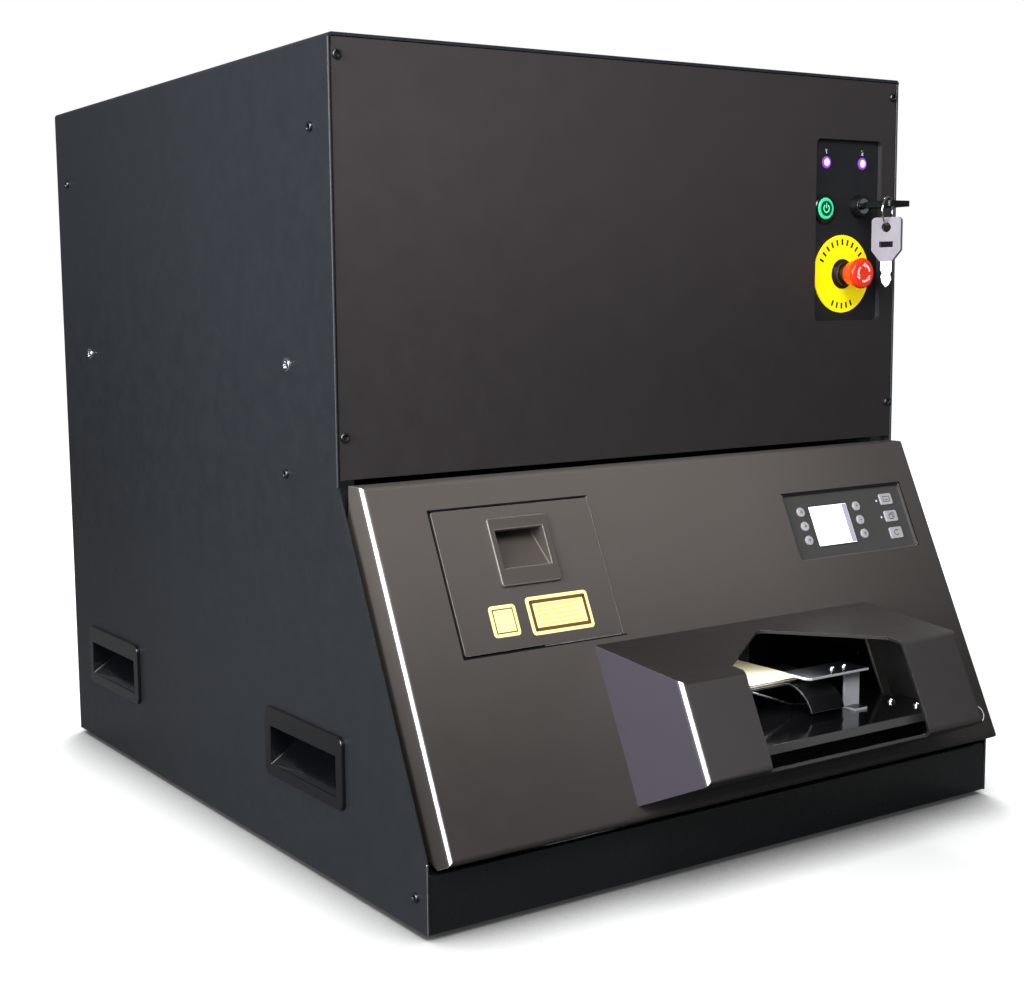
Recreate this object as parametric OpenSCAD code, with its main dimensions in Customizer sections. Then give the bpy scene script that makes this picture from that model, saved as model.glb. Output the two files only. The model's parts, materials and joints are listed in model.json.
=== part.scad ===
// Desk-top card printer cabinet with a sloped, top-hinged front cover.
// Millimetres. X to the right, Y to the back, Z up; it rests on four feet at Z = 0.

/* [Cabinet] */
// Width over the two side panels
cab_w = 514; // [500:1:560]
// Height of the cabinet above its feet
cab_h = 550; // [545:1:620]
// Depth of the side panels at the foot
cab_d = 594; // [580:1:680]
// Distance from the foot of the slope back to the upright front
front_set = 100.5; // [96:0.5:106]
// Height of the bend where the slope meets the upright front
slope_top_z = 265.6; // [262:0.1:275]
// Height of the foot of the slope
slope_foot_z = 44; // [42:0.5:48]
// Thickness of the sheet steel
sheet_t = 2; // [1.5:0.1:2.2]
// Outside radius of the bend along the top edges
top_bend_r = 3; // [2.5:0.5:5]
// Width of the strip folded over at the top of each side panel
top_strip_w = 15; // [12:1:20]
// Gap between neighbouring panels
panel_gap = 0.6; // [0.3:0.1:1]

/* [Feet] */
// Height of the rubber feet
foot_h = 4; // [3:1:12]
// Radius of a foot
foot_r = 16; // [12:1:20]
// Distance of the feet from the cabinet's corners
foot_inset = 36; // [30:1:60]

/* [Frame] */
// Width of a frame tube, across the cabinet
tube_w = 15; // [12:1:16]
// Depth of an upright post, front to back
post_d = 25; // [20:1:28]
// Height of the lower side rail
low_rail_z = 115; // [108:1:125]
// Height of the rail that the side screws hold
mid_rail_z = 262; // [258:1:266]
// Depth of the deck rail's foot below the top of the cabinet
deck_drop = 215; // [210:1:220]
// Thickness of the deck plate
deck_t = 3; // [2:1:4]

/* [Upper front panel] */
// How far the panel stands behind the front edges of the sides
panel_set = 0.8; // [0.5:0.1:1.5]
// Depth of the panel's folded rim
panel_rim = 6.7; // [6:0.1:9]
// Gap between the sloped cover and the panel above it
cover_top_gap = 3.4; // [3:0.1:4]
// Radius of a button screw's head
screw_r = 3.2; // [2.5:0.1:3.5]
// Height of a button screw's head
screw_h = 1.9; // [1.4:0.1:2.4]
// Radius of a screw's shank
shank_r = 1.9; // [1.5:0.1:2]
// Length of a screw's shank
shank_l = 8; // [6:1:9]
// Distance of the front screws from the panel's side edges
screw_side = 3.7; // [3.5:0.1:5]
// Distance of the upper front screws below the panel's top edge
screw_top = 10.7; // [9:0.1:14]
// Height of the lower front screws above the panel's bottom edge
screw_low = 27.6; // [24:0.1:32]

/* [Control recess] */
// Width of the recess
ctl_w = 71.5; // [70:0.5:78]
// Height of the recess
ctl_h = 139.3; // [137:0.1:150]
// Depth of the recess
ctl_depth = 3.5; // [3:0.1:5]
// Corner radius of the recess
ctl_r = 4.5; // [3:0.5:8]
// Distance of the recess from the panel's right edge
ctl_side = 14.4; // [13:0.1:20]
// Distance of the recess from the panel's top edge
ctl_top = 45.2; // [40:0.1:55]
// Width of the recess plate's edge behind the panel
ctl_edge = 6; // [4:1:7]
// Radius of a lamp's lens
lamp_r = 3.9; // [3:0.1:4.2]
// Distance between the two lamps
lamp_gap = 39.3; // [34:0.1:44]
// Radius of the power button's bezel
power_bezel_r = 10.9; // [10.5:0.1:11]
// Radius of the power button's cap
power_cap_r = 8.2; // [7:0.1:8.6]
// Travel of the power button
power_travel = 1.6; // [1:0.1:2]
// Radius of the key switch's front collar
lock_r = 9; // [8.6:0.1:10]
// Distance that the key switch stands proud of its plate
lock_proud = 7; // [6:0.1:9]
// Radius of the key switch's rotor
rotor_r = 6; // [5.5:0.1:6.4]
// Radius of the stop button's yellow plate
stop_plate_r = 30; // [28:0.5:31]
// Radius of the stop button's fixed collar
stop_collar_r = 9.2; // [8.8:0.1:10]
// Radius of the stop button's head
stop_head_r = 11.7; // [11:0.1:13]
// Depth of the stop button's head
stop_head_d = 14; // [12:0.5:16]
// Travel of the stop button
stop_travel = 4; // [3:0.5:5]
// Running clearance of shafts in their bores
run_gap = 0.08; // [0.03:0.01:0.1]

/* [Keys] */
// Length of a key's grip
bow_l = 33; // [30:1:34]
// Width of a key's grip
bow_w = 23; // [21:1:25]
// Thickness of a key's grip
bow_t = 4.4; // [3.5:0.1:5]
// Length of a key's blade
blade_l = 22; // [20:1:23]
// Width of a key's blade
blade_w = 8; // [7:0.1:8.6]
// Thickness of a key's blade
blade_t = 2; // [1.6:0.1:2.4]
// Outer radius of the split ring
ring_r = 11; // [10.5:0.1:12]
// Radius of the split ring's wire
ring_wire = 0.9; // [0.7:0.1:1.1]

/* [Sloped cover] */
// How far the cover's face stands in front of the slope
face_t = 16.5; // [16:0.1:18]
// Distance of the cover's sides from the cabinet's sides
cover_inset = 6.6; // [6:0.1:9]
// Radius of the cover's rounded edges
cover_r = 4.5; // [3:0.5:6]
// How far the cover reaches below the foot of the slope
cover_drop = 3.5; // [2:0.5:5]
// Radius of the hinge pins
pin_r = 2.5; // [2:0.1:3]
// Thickness of the hinge ears
ear_t = 3.5; // [3:0.1:4]

/* [Display] */
// Width of the display recess
disp_w = 126.9; // [124:0.1:132]
// Height of the display recess, along the slope
disp_h = 51; // [50:0.5:56]
// Depth of the display recess
disp_depth = 2.6; // [2.4:0.1:3.2]
// Distance of the display recess from the cover's right side
disp_side = 20.5; // [18:0.1:30]
// Distance of the display recess from the cover's top edge
disp_top = 34; // [30:0.5:40]
// Width of the screen
lcd_w = 41; // [38:0.5:44]
// Height of the screen
lcd_h = 32.2; // [30:0.1:36]
// Radius of a round key
round_key_r = 3.7; // [3:0.1:4]
// Width of a square key
square_key_w = 13; // [11:0.5:14]
// Height of a square key
square_key_h = 9; // [8:0.5:10]
// Travel of the keys
key_travel = 0.6; // [0.4:0.1:0.7]

/* [Access door] */
// Width of the door opening
door_w = 128.8; // [124:0.2:134]
// Height of the door opening, along the slope
door_h = 98.2; // [96:0.2:104]
// Distance of the opening from the cover's left side
door_side = 45.3; // [40:0.1:50]
// Distance of the opening from the cover's top edge
door_top = 19.8; // [18:0.1:24]
// Gap round the door
door_gap = 1; // [0.9:0.1:1.4]
// Thickness of the door
door_t = 2.5; // [2:0.1:3]
// How far the door stands proud of the cover
door_proud = 0.8; // [0.3:0.1:1]
// Distance of the door's pivot above its lower edge
door_pivot_s = 9; // [8.5:0.5:10]
// Radius of the door's pivot pins
door_pin_r = 1.2; // [1:0.1:1.3]
// Width of the finger pull
pull_w = 47.7; // [44:0.1:50]
// Height of the finger pull
pull_h = 46.5; // [44:0.1:50]
// How far the finger pull's frame stands proud of the door
pull_proud = 2.5; // [2:0.1:3]
// Depth of the finger pull behind the door's face
pull_depth = 17; // [14:0.5:20]
// Distance of the pull from the door's left edge
pull_side = 40.6; // [36:0.1:44]
// Distance of the pull from the door's top edge
pull_top = 9.5; // [7:0.1:14]

/* [Output hood] */
// Width of the hood
hood_w = 256.3; // [250:0.1:262]
// Distance of the hood from the cover's right side
hood_side = 96.4; // [90:0.1:104]
// Height of the hood's foot along the slope
hood_foot_s = 6; // [5:0.5:9]
// Height of the hood's top along the slope
hood_top_s = 114.4; // [112:0.1:116]
// Height of the hood's fold along the slope
hood_fold_s = 71.3; // [70:0.1:74]
// How far the hood stands out of the cover
hood_out = 74; // [72:0.5:78]
// Radius of the hood's rounded edges
hood_r = 5; // [4:0.5:7]
// Thickness of the hood's sheet
hood_t = 2; // [1.5:0.1:2.5]
// Width of the hood's mouth
mouth_w = 146; // [140:0.5:150]
// Distance of the mouth from the hood's left side
mouth_side = 54.3; // [50:0.1:58]
// How far the mouth runs back into the hood's top
mouth_back = 52; // [48:0.5:56]
// Depth of the mouth's straight corners in the top
mouth_corner = 13; // [10:0.5:16]

/* [Card output] */
// Height of the tray's upper face above the cabinet's foot
tray_z = 92; // [90:0.5:94]
// Thickness of the tray
tray_t = 6.4; // [5:0.1:7]
// Distance of the tray's front edge ahead of the cabinet's foot
tray_out = 50; // [46:0.5:52]
// Height of the card's path above the cabinet's foot
card_z = 113.5; // [112:0.1:116]
// Width of a card
card_w = 54; // [50:0.5:56]
// Length of a card
card_l = 85.6; // [80:0.1:88]
// Thickness of a card
card_t = 0.8; // [0.6:0.1:1]
// Thickness of the bracket's sheet
bracket_t = 1.6; // [1.2:0.1:2]

/* [Carry handles] */
// Width of a carry handle's bezel
grip_w = 111; // [105:1:118]
// Height of a carry handle's bezel
grip_h = 50; // [46:1:54]
// How far the bezel stands proud of the side panel
grip_proud = 3; // [2:0.5:4]
// Depth of the pocket behind the side panel
grip_depth = 30; // [26:1:34]
// Distance of the front handle's centre from the cabinet's foot
grip_front_y = 153.5; // [148:0.5:160]
// Distance of the rear handle's centre from the cabinet's back
grip_back_y = 94.3; // [88:0.1:110]
// Height of the handles' centres
grip_z = 77; // [74:0.5:80]

/* [Works] */
// Radius of the card rollers
roller_r = 11; // [9:0.5:12]
// Radius of the roller shafts
shaft_r = 4; // [3:0.5:5]
// Distance of the rollers from the cabinet's foot
roller_y = 150; // [146:1:170]
// Radius of the belt pulleys
pulley_r = 9; // [7:0.5:11]
// Distance between the roller's pulley and the motor's pulley
belt_run = 60; // [54:1:66]
// Width of the drive belt
belt_w = 6; // [5:0.5:8]
// Thickness of the drive belt
belt_t = 1.4; // [1:0.1:2]
// Side length of the fan
fan_size = 120; // [110:1:124]
// Depth of the fan
fan_d = 25; // [22:1:30]
// Number of fan blades
fan_blades = 7; // [5:1:9]

/* [Hidden] */
$fn = 48;

eps = 0.01;
cut = 1;
half_w = cab_w / 2;
inner_x = half_w - sheet_t;
slope_a = atan2(front_set, slope_top_z - slope_foot_z);
panel_y = front_set + panel_set;
post_y = panel_y + panel_rim;

// A point given by its height s along the slope and its distance t out of it
function on_yz(s, t) = [s * sin(slope_a) - t * cos(slope_a),
                        slope_foot_z + s * cos(slope_a) + t * sin(slope_a)];

// The cover's own limits
cover_w = cab_w - 2 * cover_inset;
cover_half = cover_w / 2;
cover_z = slope_top_z + 1;
cover_s = (cover_z - slope_foot_z - face_t * sin(slope_a)) / cos(slope_a);
cover_front_y = on_yz(cover_s, face_t)[0];
cover_back_y = front_set - 2.5;
cover_under_t = face_t - sheet_t;
panel_z0 = cover_z + cover_top_gap;
panel_z1 = cab_h - sheet_t - 0.5;
panel_half = inner_x - panel_gap - 0.2;

// The cover turns about pins just inside its top rear corner
pivot_y = cover_front_y + 9.1;
pivot_z = cover_z - 8.6;
ear_x = cover_half - sheet_t - ear_t;
bracket_plate = 4;
nose_r = pin_r + 3;
ear_top_t = cover_under_t - cover_r + sheet_t - 0.2;

// The control recess and what sits in it
ctl_x = panel_half - ctl_side - ctl_w / 2;
ctl_z = panel_z1 - ctl_top - ctl_h / 2;
ctl_y = panel_y + ctl_depth;
lamp_x = -21.9;
lamp_z = 52.1;
power_x = -24.5;
power_z = 16.9;
lock_x = 13.8;
lock_z = 19.2;
stop_x = -3.7;
stop_z = -33.1;
stop_collar_h = 5;
stop_plate_t = 0.8;
stop_rear = stop_collar_h + stop_travel + 0.5;
stop_stem_r = 7;

// The key hangs in the rotor; the ring hangs in the key
rotor_front = lock_proud - 0.6;
bow_start = lock_proud + 3;
blade_in = blade_l - bow_start + rotor_front;
bow_hole_r = 3.7;
ring_hole = bow_start + bow_l - 9;
ring_turn = 20;
ring_mid = ring_r - ring_wire;
ring_drop = 5.4;
ring_shift = 0.5;
ring_side = sqrt(ring_mid * ring_mid - ring_drop * ring_drop);

// The door in the cover
door_x0 = -cover_half + door_side;
door_s1 = cover_s - door_top;
door_s0 = door_s1 - door_h;
door_face_t = face_t + door_proud;
door_back_t = door_face_t - door_t;
pivot_s = door_s0 + door_gap + door_pivot_s;
pivot_t = cover_under_t - door_pin_r - 0.15;
lug_r = door_pin_r + 1.8;
lug_w = 6;
pull_x = door_x0 + pull_side + pull_w / 2;
pull_s = door_s1 - pull_top - pull_h / 2;
pull_rim = 3;
pull_wall = 1.5;

// The display in the cover
disp_x = cover_half - disp_side - disp_w / 2;
disp_s = cover_s - disp_top - disp_h / 2;
disp_floor = face_t - disp_depth;
disp_plate_back = disp_floor - 2;
disp_edge = 6;
lcd_dx = -18;
lcd_ds = -0.7;
round_dx = [-46.9, 12.1];
round_ds = [11.5, 0.4, -10.7];
square_dx = 46;
square_ds = [14.3, 0.4, -13.2];
flange_gap = 0.3;
flange_t = 0.8;
board_t = disp_plate_back - flange_gap - flange_t - key_travel - 0.4;

// The hood over the card output
hood_x1 = cover_half - hood_side;
hood_x0 = hood_x1 - hood_w;
hood_face_t = face_t + hood_out;
mouth_x0 = hood_x0 + mouth_side;
mouth_x1 = mouth_x0 + mouth_w;
mouth_x = (mouth_x0 + mouth_x1) / 2;
out_x0 = hood_x0 + 10;
out_x1 = hood_x1 - 10;
out_s0 = hood_foot_s + 16;
out_s1 = hood_top_s - 10;
tray_back_y = 40;
deck_under = card_z - 0.3;
bracket_x1 = mouth_x + 79;
bracket_top = 121;
bracket_leg = 15;
bracket_w = 59;
bracket_y0 = -18;
bracket_l = 26;
bracket_chamfer = 3;
chute_x0 = mouth_x + 23;
chute_w = 32;
card_x0 = mouth_x - 12;
card_front = 13;

// Flush handles in the sides
grip_ys = [grip_front_y, cab_d - grip_back_y];
grip_rim = 6;

// Screws: the front ones hold the panel, the side ones hold the sides
front_screws = [for (x = [-1, 1], z = [panel_z1 - screw_top, panel_z0 + screw_low])
                [x * (panel_half - screw_side), z]];
side_screws = [[front_set + 24.9, cab_h - 55.5], [cab_d - 25.3, cab_h - 61.6],
               [front_set + 70, mid_rail_z + 7], [12.7, 20.9]];
deck_rail_z = cab_h - deck_drop;
side_bolts = [[front_set + 65.6, deck_rail_z + 7.7], [cab_d - 63.2, deck_rail_z + 7.7]];
bolt_r = 4.7;
bolt_h = 1.2;
rear_screws = [for (x = [-1, 1], z = [40, cab_h / 2, cab_h - 40]) [x * (inner_x - 8), z]];
top_screws = [for (x = [-1, 1], y = [post_y + 8, cab_d - 12]) [x * (half_w - top_strip_w - 22), y]];

// The fan, the inlet and the works
fan_x = 125 - inner_x;
fan_z = cab_h - 130;
fan_bore = fan_size / 2 - 3;
inlet_x = inner_x - 85;
inlet_z = 70;
inlet_w = 50;
inlet_h = 62;
inlet_t = 2.5;
works_x = mouth_x;
works_half = 100;
works_wall = 4;
works_y0 = 124;
works_y1 = 330;
works_top = 175;
works_floor = 8;
works_bar = 12;
slot_half = 8;
drive_z = card_z - roller_r - 0.05;
press_r = roller_r - 3;
press_z = card_z + card_t + press_r + 0.3;
wall_in = works_half - works_wall;
pulley_x = works_x - works_half - 12;
motor_z = drive_z - belt_run;
motor_size = 42;

// The deck, the scan head on it and the marking unit behind the head
deck_z = deck_rail_z + tube_w;
deck_top = deck_z + deck_t;
deck_half = 180;
deck_y0 = post_y + 30;
deck_y1 = cab_d - 116;
lens_y = roller_y + 65;
lens_r = 36;
lens_drop = 42;
lens_hole = 90;
head_w = 110;
head_h = 84;
duct_w = 60;
duct_h = 40;
duct_z = deck_top + 20;
mark_x1 = works_x - 45;
mark_y0 = lens_y + head_w / 2 + 30;
mark_w = 150;
mark_l = 170;
mark_h = 70;
fin_step = 16;

// Power supply and control board on the floor of the cabinet
psu_w = 100;
psu_l = 200;
psu_h = 48;
psu_x0 = 30 - inner_x;
psu_y0 = cab_d - 254;
slot_step = 18;
board_x0 = psu_x0 + psu_w + 9;
board_w = 182;
board_l = 216;
board_y1 = cab_d - sheet_t - 2;
board_y0 = board_y1 - board_l;
board_z = 58;
board_h = 1.6;
pillar_in = 6;
socket_x = board_x0 + 66;
socket_step = 34;
socket_w = 16;
socket_h = 13;
rocker_r = 8.2;
rocker_tilt = 12;
rocker_y = -17;
rocker_z = -4.6;

// The origin stands under the middle of the whole object
front_reach = on_yz(hood_foot_s + hood_r, hood_face_t - hood_r)[0] - hood_r;
rear_reach = cab_d + inlet_t;
mid_y = (front_reach + rear_reach) / 2;

// --- helpers ---

module place() {
  translate([0, -mid_y, foot_h]) children();
}

// Points of a round corner of radius r at p, between its neighbours a and b
function arc_corner(a, p, b, r, n) =
  let (u = (a - p) / norm(a - p),
       v = (b - p) / norm(b - p),
       half = acos(u * v) / 2,
       c = p + (u + v) / norm(u + v) * r / sin(half),
       q0 = p + u * r / tan(half) - c,
       q1 = p + v * r / tan(half) - c,
       a0 = atan2(q0[1], q0[0]),
       turn = atan2(q1[1], q1[0]) - a0,
       da = turn > 180 ? turn - 360 : turn < -180 ? turn + 360 : turn)
  [for (i = [0:n]) c + r * [cos(a0 + da * i / n), sin(a0 + da * i / n)]];

function round_poly(pts, rs, n = 6) =
  [for (i = [0:len(pts) - 1])
    each (rs[i] <= 0 ? [pts[i]]
      : arc_corner(pts[(i + len(pts) - 1) % len(pts)], pts[i], pts[(i + 1) % len(pts)], rs[i], n))];

module rounded_rect(w, h, r) {
  square([w - 2 * r, h], center = true);
  square([w, h - 2 * r], center = true);
  for (x = [-1, 1], y = [-1, 1])
    translate([x * (w / 2 - r), y * (h / 2 - r)]) circle(r);
}

// A shape drawn in (y, z), run from x0 to x1
module along_x(x0, x1) {
  translate([x0, 0, 0]) rotate([90, 0, 90]) linear_extrude(x1 - x0) children();
}

// Local x to the right, y up the slope, z out of the slope
module on_slope(x = 0, s = 0, t = 0) {
  translate([0, 0, slope_foot_z]) rotate([90 - slope_a, 0, 0]) translate([x, s, t]) children();
}

// Local x to the right, y up, z towards the front
module on_front(x, z, y) {
  translate([x, y, z]) rotate([90, 0, 0]) children();
}

// A rod with round ends between two points of the (y, z) plane, at x
module edge_rod(x, p, q, r) {
  d = q - p;
  translate([x, p[0], p[1]]) rotate([atan2(d[1], d[0]) - 90, 0, 0]) cylinder(r = r, h = norm(d), $fn = 24);
  translate([x, q[0], q[1]]) sphere(r, $fn = 24);
}

// A pin along X from x0 to x1
module x_pin(x0, x1, y, z, r) {
  translate([x0, y, z]) rotate([0, 90, 0]) cylinder(r = r, h = x1 - x0);
}

// Where each screw goes; local z points out of the panel
module at_screws() {
  for (p = front_screws) on_front(p[0], p[1], panel_y) children();
  for (m = [0, 1], p = side_screws)
    mirror([m, 0, 0]) translate([half_w, p[0], p[1]]) rotate([0, 90, 0]) children();
  for (p = rear_screws) translate([p[0], cab_d, p[1]]) rotate([-90, 0, 0]) children();
  for (p = top_screws) translate([p[0], p[1], cab_h]) children();
}

module at_bolts() {
  for (m = [0, 1], p = side_bolts)
    mirror([m, 0, 0]) translate([half_w, p[0], p[1]]) rotate([0, 90, 0]) children();
}

// The holes that all the screws need
module screw_holes() {
  at_screws() translate([0, 0, -shank_l - 0.5]) cylinder(r = shank_r + 0.1, h = shank_l + 0.5 + cut);
  at_bolts() translate([0, 0, -shank_l - 0.5]) cylinder(r = bolt_r - 1.2 + 0.1, h = shank_l + 0.5 + cut);
}

module at_grips() {
  for (m = [0, 1], y = grip_ys)
    mirror([m, 0, 0]) translate([half_w, y, grip_z]) rotate([90, 0, 90]) children();
}

// --- cabinet ---

module base_pan() {
  color("dimgray") place() difference() {
    translate([-inner_x, sheet_t + 1, 0]) cube([2 * inner_x, cab_d - 2 * sheet_t - 1, sheet_t]);
    for (i = [0:7], m = [-1, 1])
      translate([m * 60 - 15, 180 + i * 22, -cut]) cube([30, 6, sheet_t + 2 * cut]);
  }
}

// One side panel, on the right; its front edges are rounded over
module side_panel() {
  r = sheet_t / 2;
  foot = [0, slope_foot_z];
  bend = [front_set, slope_top_z];
  low = [r, r];
  knee = [r, slope_foot_z - r * tan((90 - slope_a) / 2) + r];
  elbow = [front_set + r, slope_top_z - r * tan(slope_a / 2)];
  head = [front_set + r, cab_h - top_bend_r];
  difference() {
    union() {
      along_x(inner_x, half_w)
        polygon([[r, 0], [cab_d, 0], [cab_d, cab_h - top_bend_r], head, elbow, knee]);
      edge_rod(half_w - r, low, knee, r);
      edge_rod(half_w - r, knee, elbow, r);
      translate([half_w - r, elbow[0], elbow[1]]) cylinder(r = r, h = head[1] - elbow[1], $fn = 24);
      translate([half_w - r, low[0], 0]) cylinder(r = r, h = low[1], $fn = 24);
      translate([0, front_set, 0]) top_strip();
    }
    screw_holes();
    at_grips() translate([0, 0, -10]) linear_extrude(20)
      rounded_rect(grip_w - 2 * grip_rim + 0.6, grip_h - 2 * grip_rim + 0.6, 4.3);
  }
}

// The bend and the strip folded over at the top of a side panel
module top_strip() {
  translate([0, cab_d - front_set, 0]) rotate([90, 0, 0]) linear_extrude(cab_d - front_set) {
    translate([half_w - top_bend_r, cab_h - top_bend_r]) difference() {
      intersection() {
        circle(top_bend_r);
        square(top_bend_r);
      }
      circle(top_bend_r - sheet_t);
    }
    translate([half_w - top_strip_w, cab_h - sheet_t])
      square([top_strip_w - top_bend_r, sheet_t]);
  }
}

module right_side_panel() {
  color("darkslategray") place() side_panel();
}

module left_side_panel() {
  color("darkslategray") place() mirror([1, 0, 0]) side_panel();
}

module top_panel() {
  w = cab_w - 2 * top_strip_w - panel_gap;
  color("darkslategray") place() difference() {
    translate([-w / 2, front_set, cab_h - sheet_t]) cube([w, cab_d - front_set, sheet_t]);
    screw_holes();
  }
}

// The fan's air passes through rings of slots cut in the rear panel
module fan_grille() {
  difference() {
    circle(fan_bore - 3);
    for (r = [12:8:fan_bore])
      difference() {
        circle(r + 1.5);
        circle(r - 1.5);
      }
    for (a = [0, 45, 90, 135]) rotate(a) square([fan_size, 4], center = true);
    circle(10);
  }
}

module rear_panel() {
  w = 2 * (inner_x - panel_gap / 2);
  color("darkslategray") place() difference() {
    translate([-w / 2, cab_d - sheet_t, sheet_t]) cube([w, sheet_t, cab_h - 2 * sheet_t - panel_gap]);
    screw_holes();
    translate([fan_x, cab_d + cut, fan_z]) rotate([90, 0, 0])
      linear_extrude(sheet_t + 2 * cut) fan_grille();
    translate([inlet_x - inlet_w / 2 + 5, cab_d - sheet_t - cut, inlet_z - inlet_h / 2 + 3])
      cube([inlet_w - 10, sheet_t + 2 * cut, inlet_h - 6]);
    for (i = [0:3])
      translate([socket_x + i * socket_step, cab_d - sheet_t - cut, board_z + board_h - 0.3])
        cube([socket_w, sheet_t + 2 * cut, socket_h + 0.6]);
  }
}

module post(y, z0, z1) {
  for (m = [0, 1]) mirror([m, 0, 0])
    translate([inner_x - tube_w, y, z0]) cube([tube_w, post_d, z1 - z0]);
}

module side_rail(z, y0, w = tube_w) {
  for (m = [0, 1]) mirror([m, 0, 0])
    translate([inner_x - w, y0, z]) cube([w, cab_d - sheet_t - y0, tube_w]);
}

module cross_rail(y, z) {
  translate([-inner_x + tube_w, y, z]) cube([2 * (inner_x - tube_w), tube_w, tube_w]);
}

// Welded tube frame with the deck that carries the marking unit
module chassis_frame() {
  roof = cab_h - sheet_t;
  top = roof - top_bend_r + sheet_t;
  back = cab_d - sheet_t;
  color("gray") place() difference() {
    union() {
      post(60, sheet_t, low_rail_z + tube_w);
      post(post_y, low_rail_z, top);
      post(back - post_d, sheet_t, top);
      side_rail(low_rail_z, 60);
      side_rail(mid_rail_z, post_y);
      side_rail(deck_rail_z, post_y);
      side_rail(top - tube_w, post_y, tube_w + 30);
      cross_rail(post_y, roof - tube_w);
      cross_rail(back - tube_w, roof - tube_w);
      cross_rail(post_y + 40, deck_rail_z);
      cross_rail(deck_y1 - 48, deck_rail_z);
      translate([-deck_half, deck_y0, deck_z]) cube([2 * deck_half, deck_y1 - deck_y0, deck_t]);
    }
    screw_holes();
    translate([works_x - lens_hole / 2, lens_y - lens_hole / 2, deck_z - cut])
      cube([lens_hole, lens_hole, deck_t + 2 * cut]);
  }
}

module upper_front_panel() {
  w = 2 * panel_half;
  h = panel_z1 - panel_z0;
  color("#3d3a3c") place() difference() {
    translate([-panel_half, panel_y, panel_z0]) cube([w, panel_rim, h]);
    translate([-panel_half + sheet_t, panel_y + sheet_t, panel_z0 + sheet_t])
      cube([w - 2 * sheet_t, panel_rim, h - 2 * sheet_t]);
    on_front(ctl_x, ctl_z, panel_y + sheet_t + cut) linear_extrude(sheet_t + 2 * cut)
      rounded_rect(ctl_w, ctl_h, ctl_r);
    screw_holes();
  }
}

module front_plinth() {
  w = 2 * (inner_x - panel_gap / 2);
  top = slope_foot_z - 6;
  color("#1a1d1f") place() difference() {
    union() {
      along_x(-w / 2, w / 2) difference() {
        polygon(round_poly([[1, 0], [18, 0], [18, top], [1, top]], [0, 0, 0, 2.5]));
        translate([1 + sheet_t, sheet_t + eps]) square([18, top - 2 * sheet_t - eps]);
      }
      for (m = [0, 1]) mirror([m, 0, 0])
        translate([w / 2 - sheet_t, 2, 0]) cube([sheet_t, 18, top - sheet_t]);
    }
    translate([-inner_x - cut, sheet_t + 1 - eps, -cut]) cube([2 * inner_x + 2 * cut, 40, sheet_t + cut]);
    screw_holes();
  }
}

module rubber_feet() {
  color("#1c1c1c") place()
    for (x = [-1, 1], y = [foot_inset, cab_d - foot_inset])
      translate([x * (half_w - foot_inset), y, -foot_h]) difference() {
        cylinder(r1 = foot_r - 1.5, r2 = foot_r, h = foot_h);
        translate([0, 0, -cut]) cylinder(r = 4, h = foot_h / 2 + cut);
      }
}

// A pull handle let into the side panel, with a pocket that runs up behind its lip
module carry_grip() {
  ow = grip_w - 2 * grip_rim;
  oh = grip_h - 2 * grip_rim;
  iw = ow - 5;
  lip = 12;
  low = -oh / 2 + 2.5;
  high = oh / 2 - lip + 4;
  difference() {
    union() {
      linear_extrude(grip_proud) rounded_rect(grip_w, grip_h, 6);
      translate([0, 0, -grip_depth]) linear_extrude(grip_depth) rounded_rect(ow, oh, 4);
    }
    rotate([0, 90, 0]) translate([0, 0, -iw / 2]) linear_extrude(iw)
      polygon([[-grip_proud - cut, low], [-2, low], [grip_depth - 3, high - 8],
               [grip_depth - 3, oh / 2 - 2.5], [9, oh / 2 - 2.5], [9, high], [-grip_proud - cut, high]]);
  }
}

module carry_handles() {
  color("#161618") place() at_grips() carry_grip();
}

module button_screw() {
  difference() {
    rotate_extrude($fn = 24)
      polygon([[0, -shank_l], [shank_r, -shank_l], [shank_r, 0], [screw_r, 0], [screw_r, 0.35 * screw_h],
               [0.86 * screw_r, 0.72 * screw_h], [0.58 * screw_r, screw_h], [0, screw_h]]);
    translate([0, 0, screw_h - 1.1]) cylinder(r = 1.4, h = 2, $fn = 6);
  }
}

// Wide bright bolts that hold the deck rails
module side_bolt() {
  difference() {
    union() {
      cylinder(r = bolt_r, h = bolt_h, $fn = 32);
      translate([0, 0, -shank_l]) cylinder(r = bolt_r - 1.2, h = shank_l + eps, $fn = 32);
    }
    translate([0, 0, bolt_h - 0.8]) cylinder(r = 2.3, h = 2, $fn = 6);
  }
}

module panel_screws() {
  color("#5a5c60") place() {
    at_screws() button_screw();
    at_bolts() side_bolt();
  }
}

// --- control recess ---

module control_plate() {
  color("#2b2c30") place() on_front(ctl_x, ctl_z, ctl_y) difference() {
    translate([0, 0, -sheet_t]) linear_extrude(ctl_depth)
      rounded_rect(ctl_w + 2 * ctl_edge, ctl_h + 2 * ctl_edge, ctl_r + 2);
    linear_extrude(ctl_depth) rounded_rect(ctl_w, ctl_h, ctl_r);
    for (x = [0, lamp_gap])
      translate([lamp_x + x, lamp_z, -sheet_t - cut]) cylinder(r = lamp_r + 0.1, h = 10);
    translate([power_x, power_z, -sheet_t - cut]) cylinder(r = power_cap_r + 1.3, h = 10);
    translate([lock_x, lock_z, -sheet_t - cut]) cylinder(r = lock_r - 0.9, h = 10);
    translate([stop_x, stop_z, -sheet_t - cut]) cylinder(r = stop_collar_r + 1.9, h = 10);
  }
}

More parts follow.
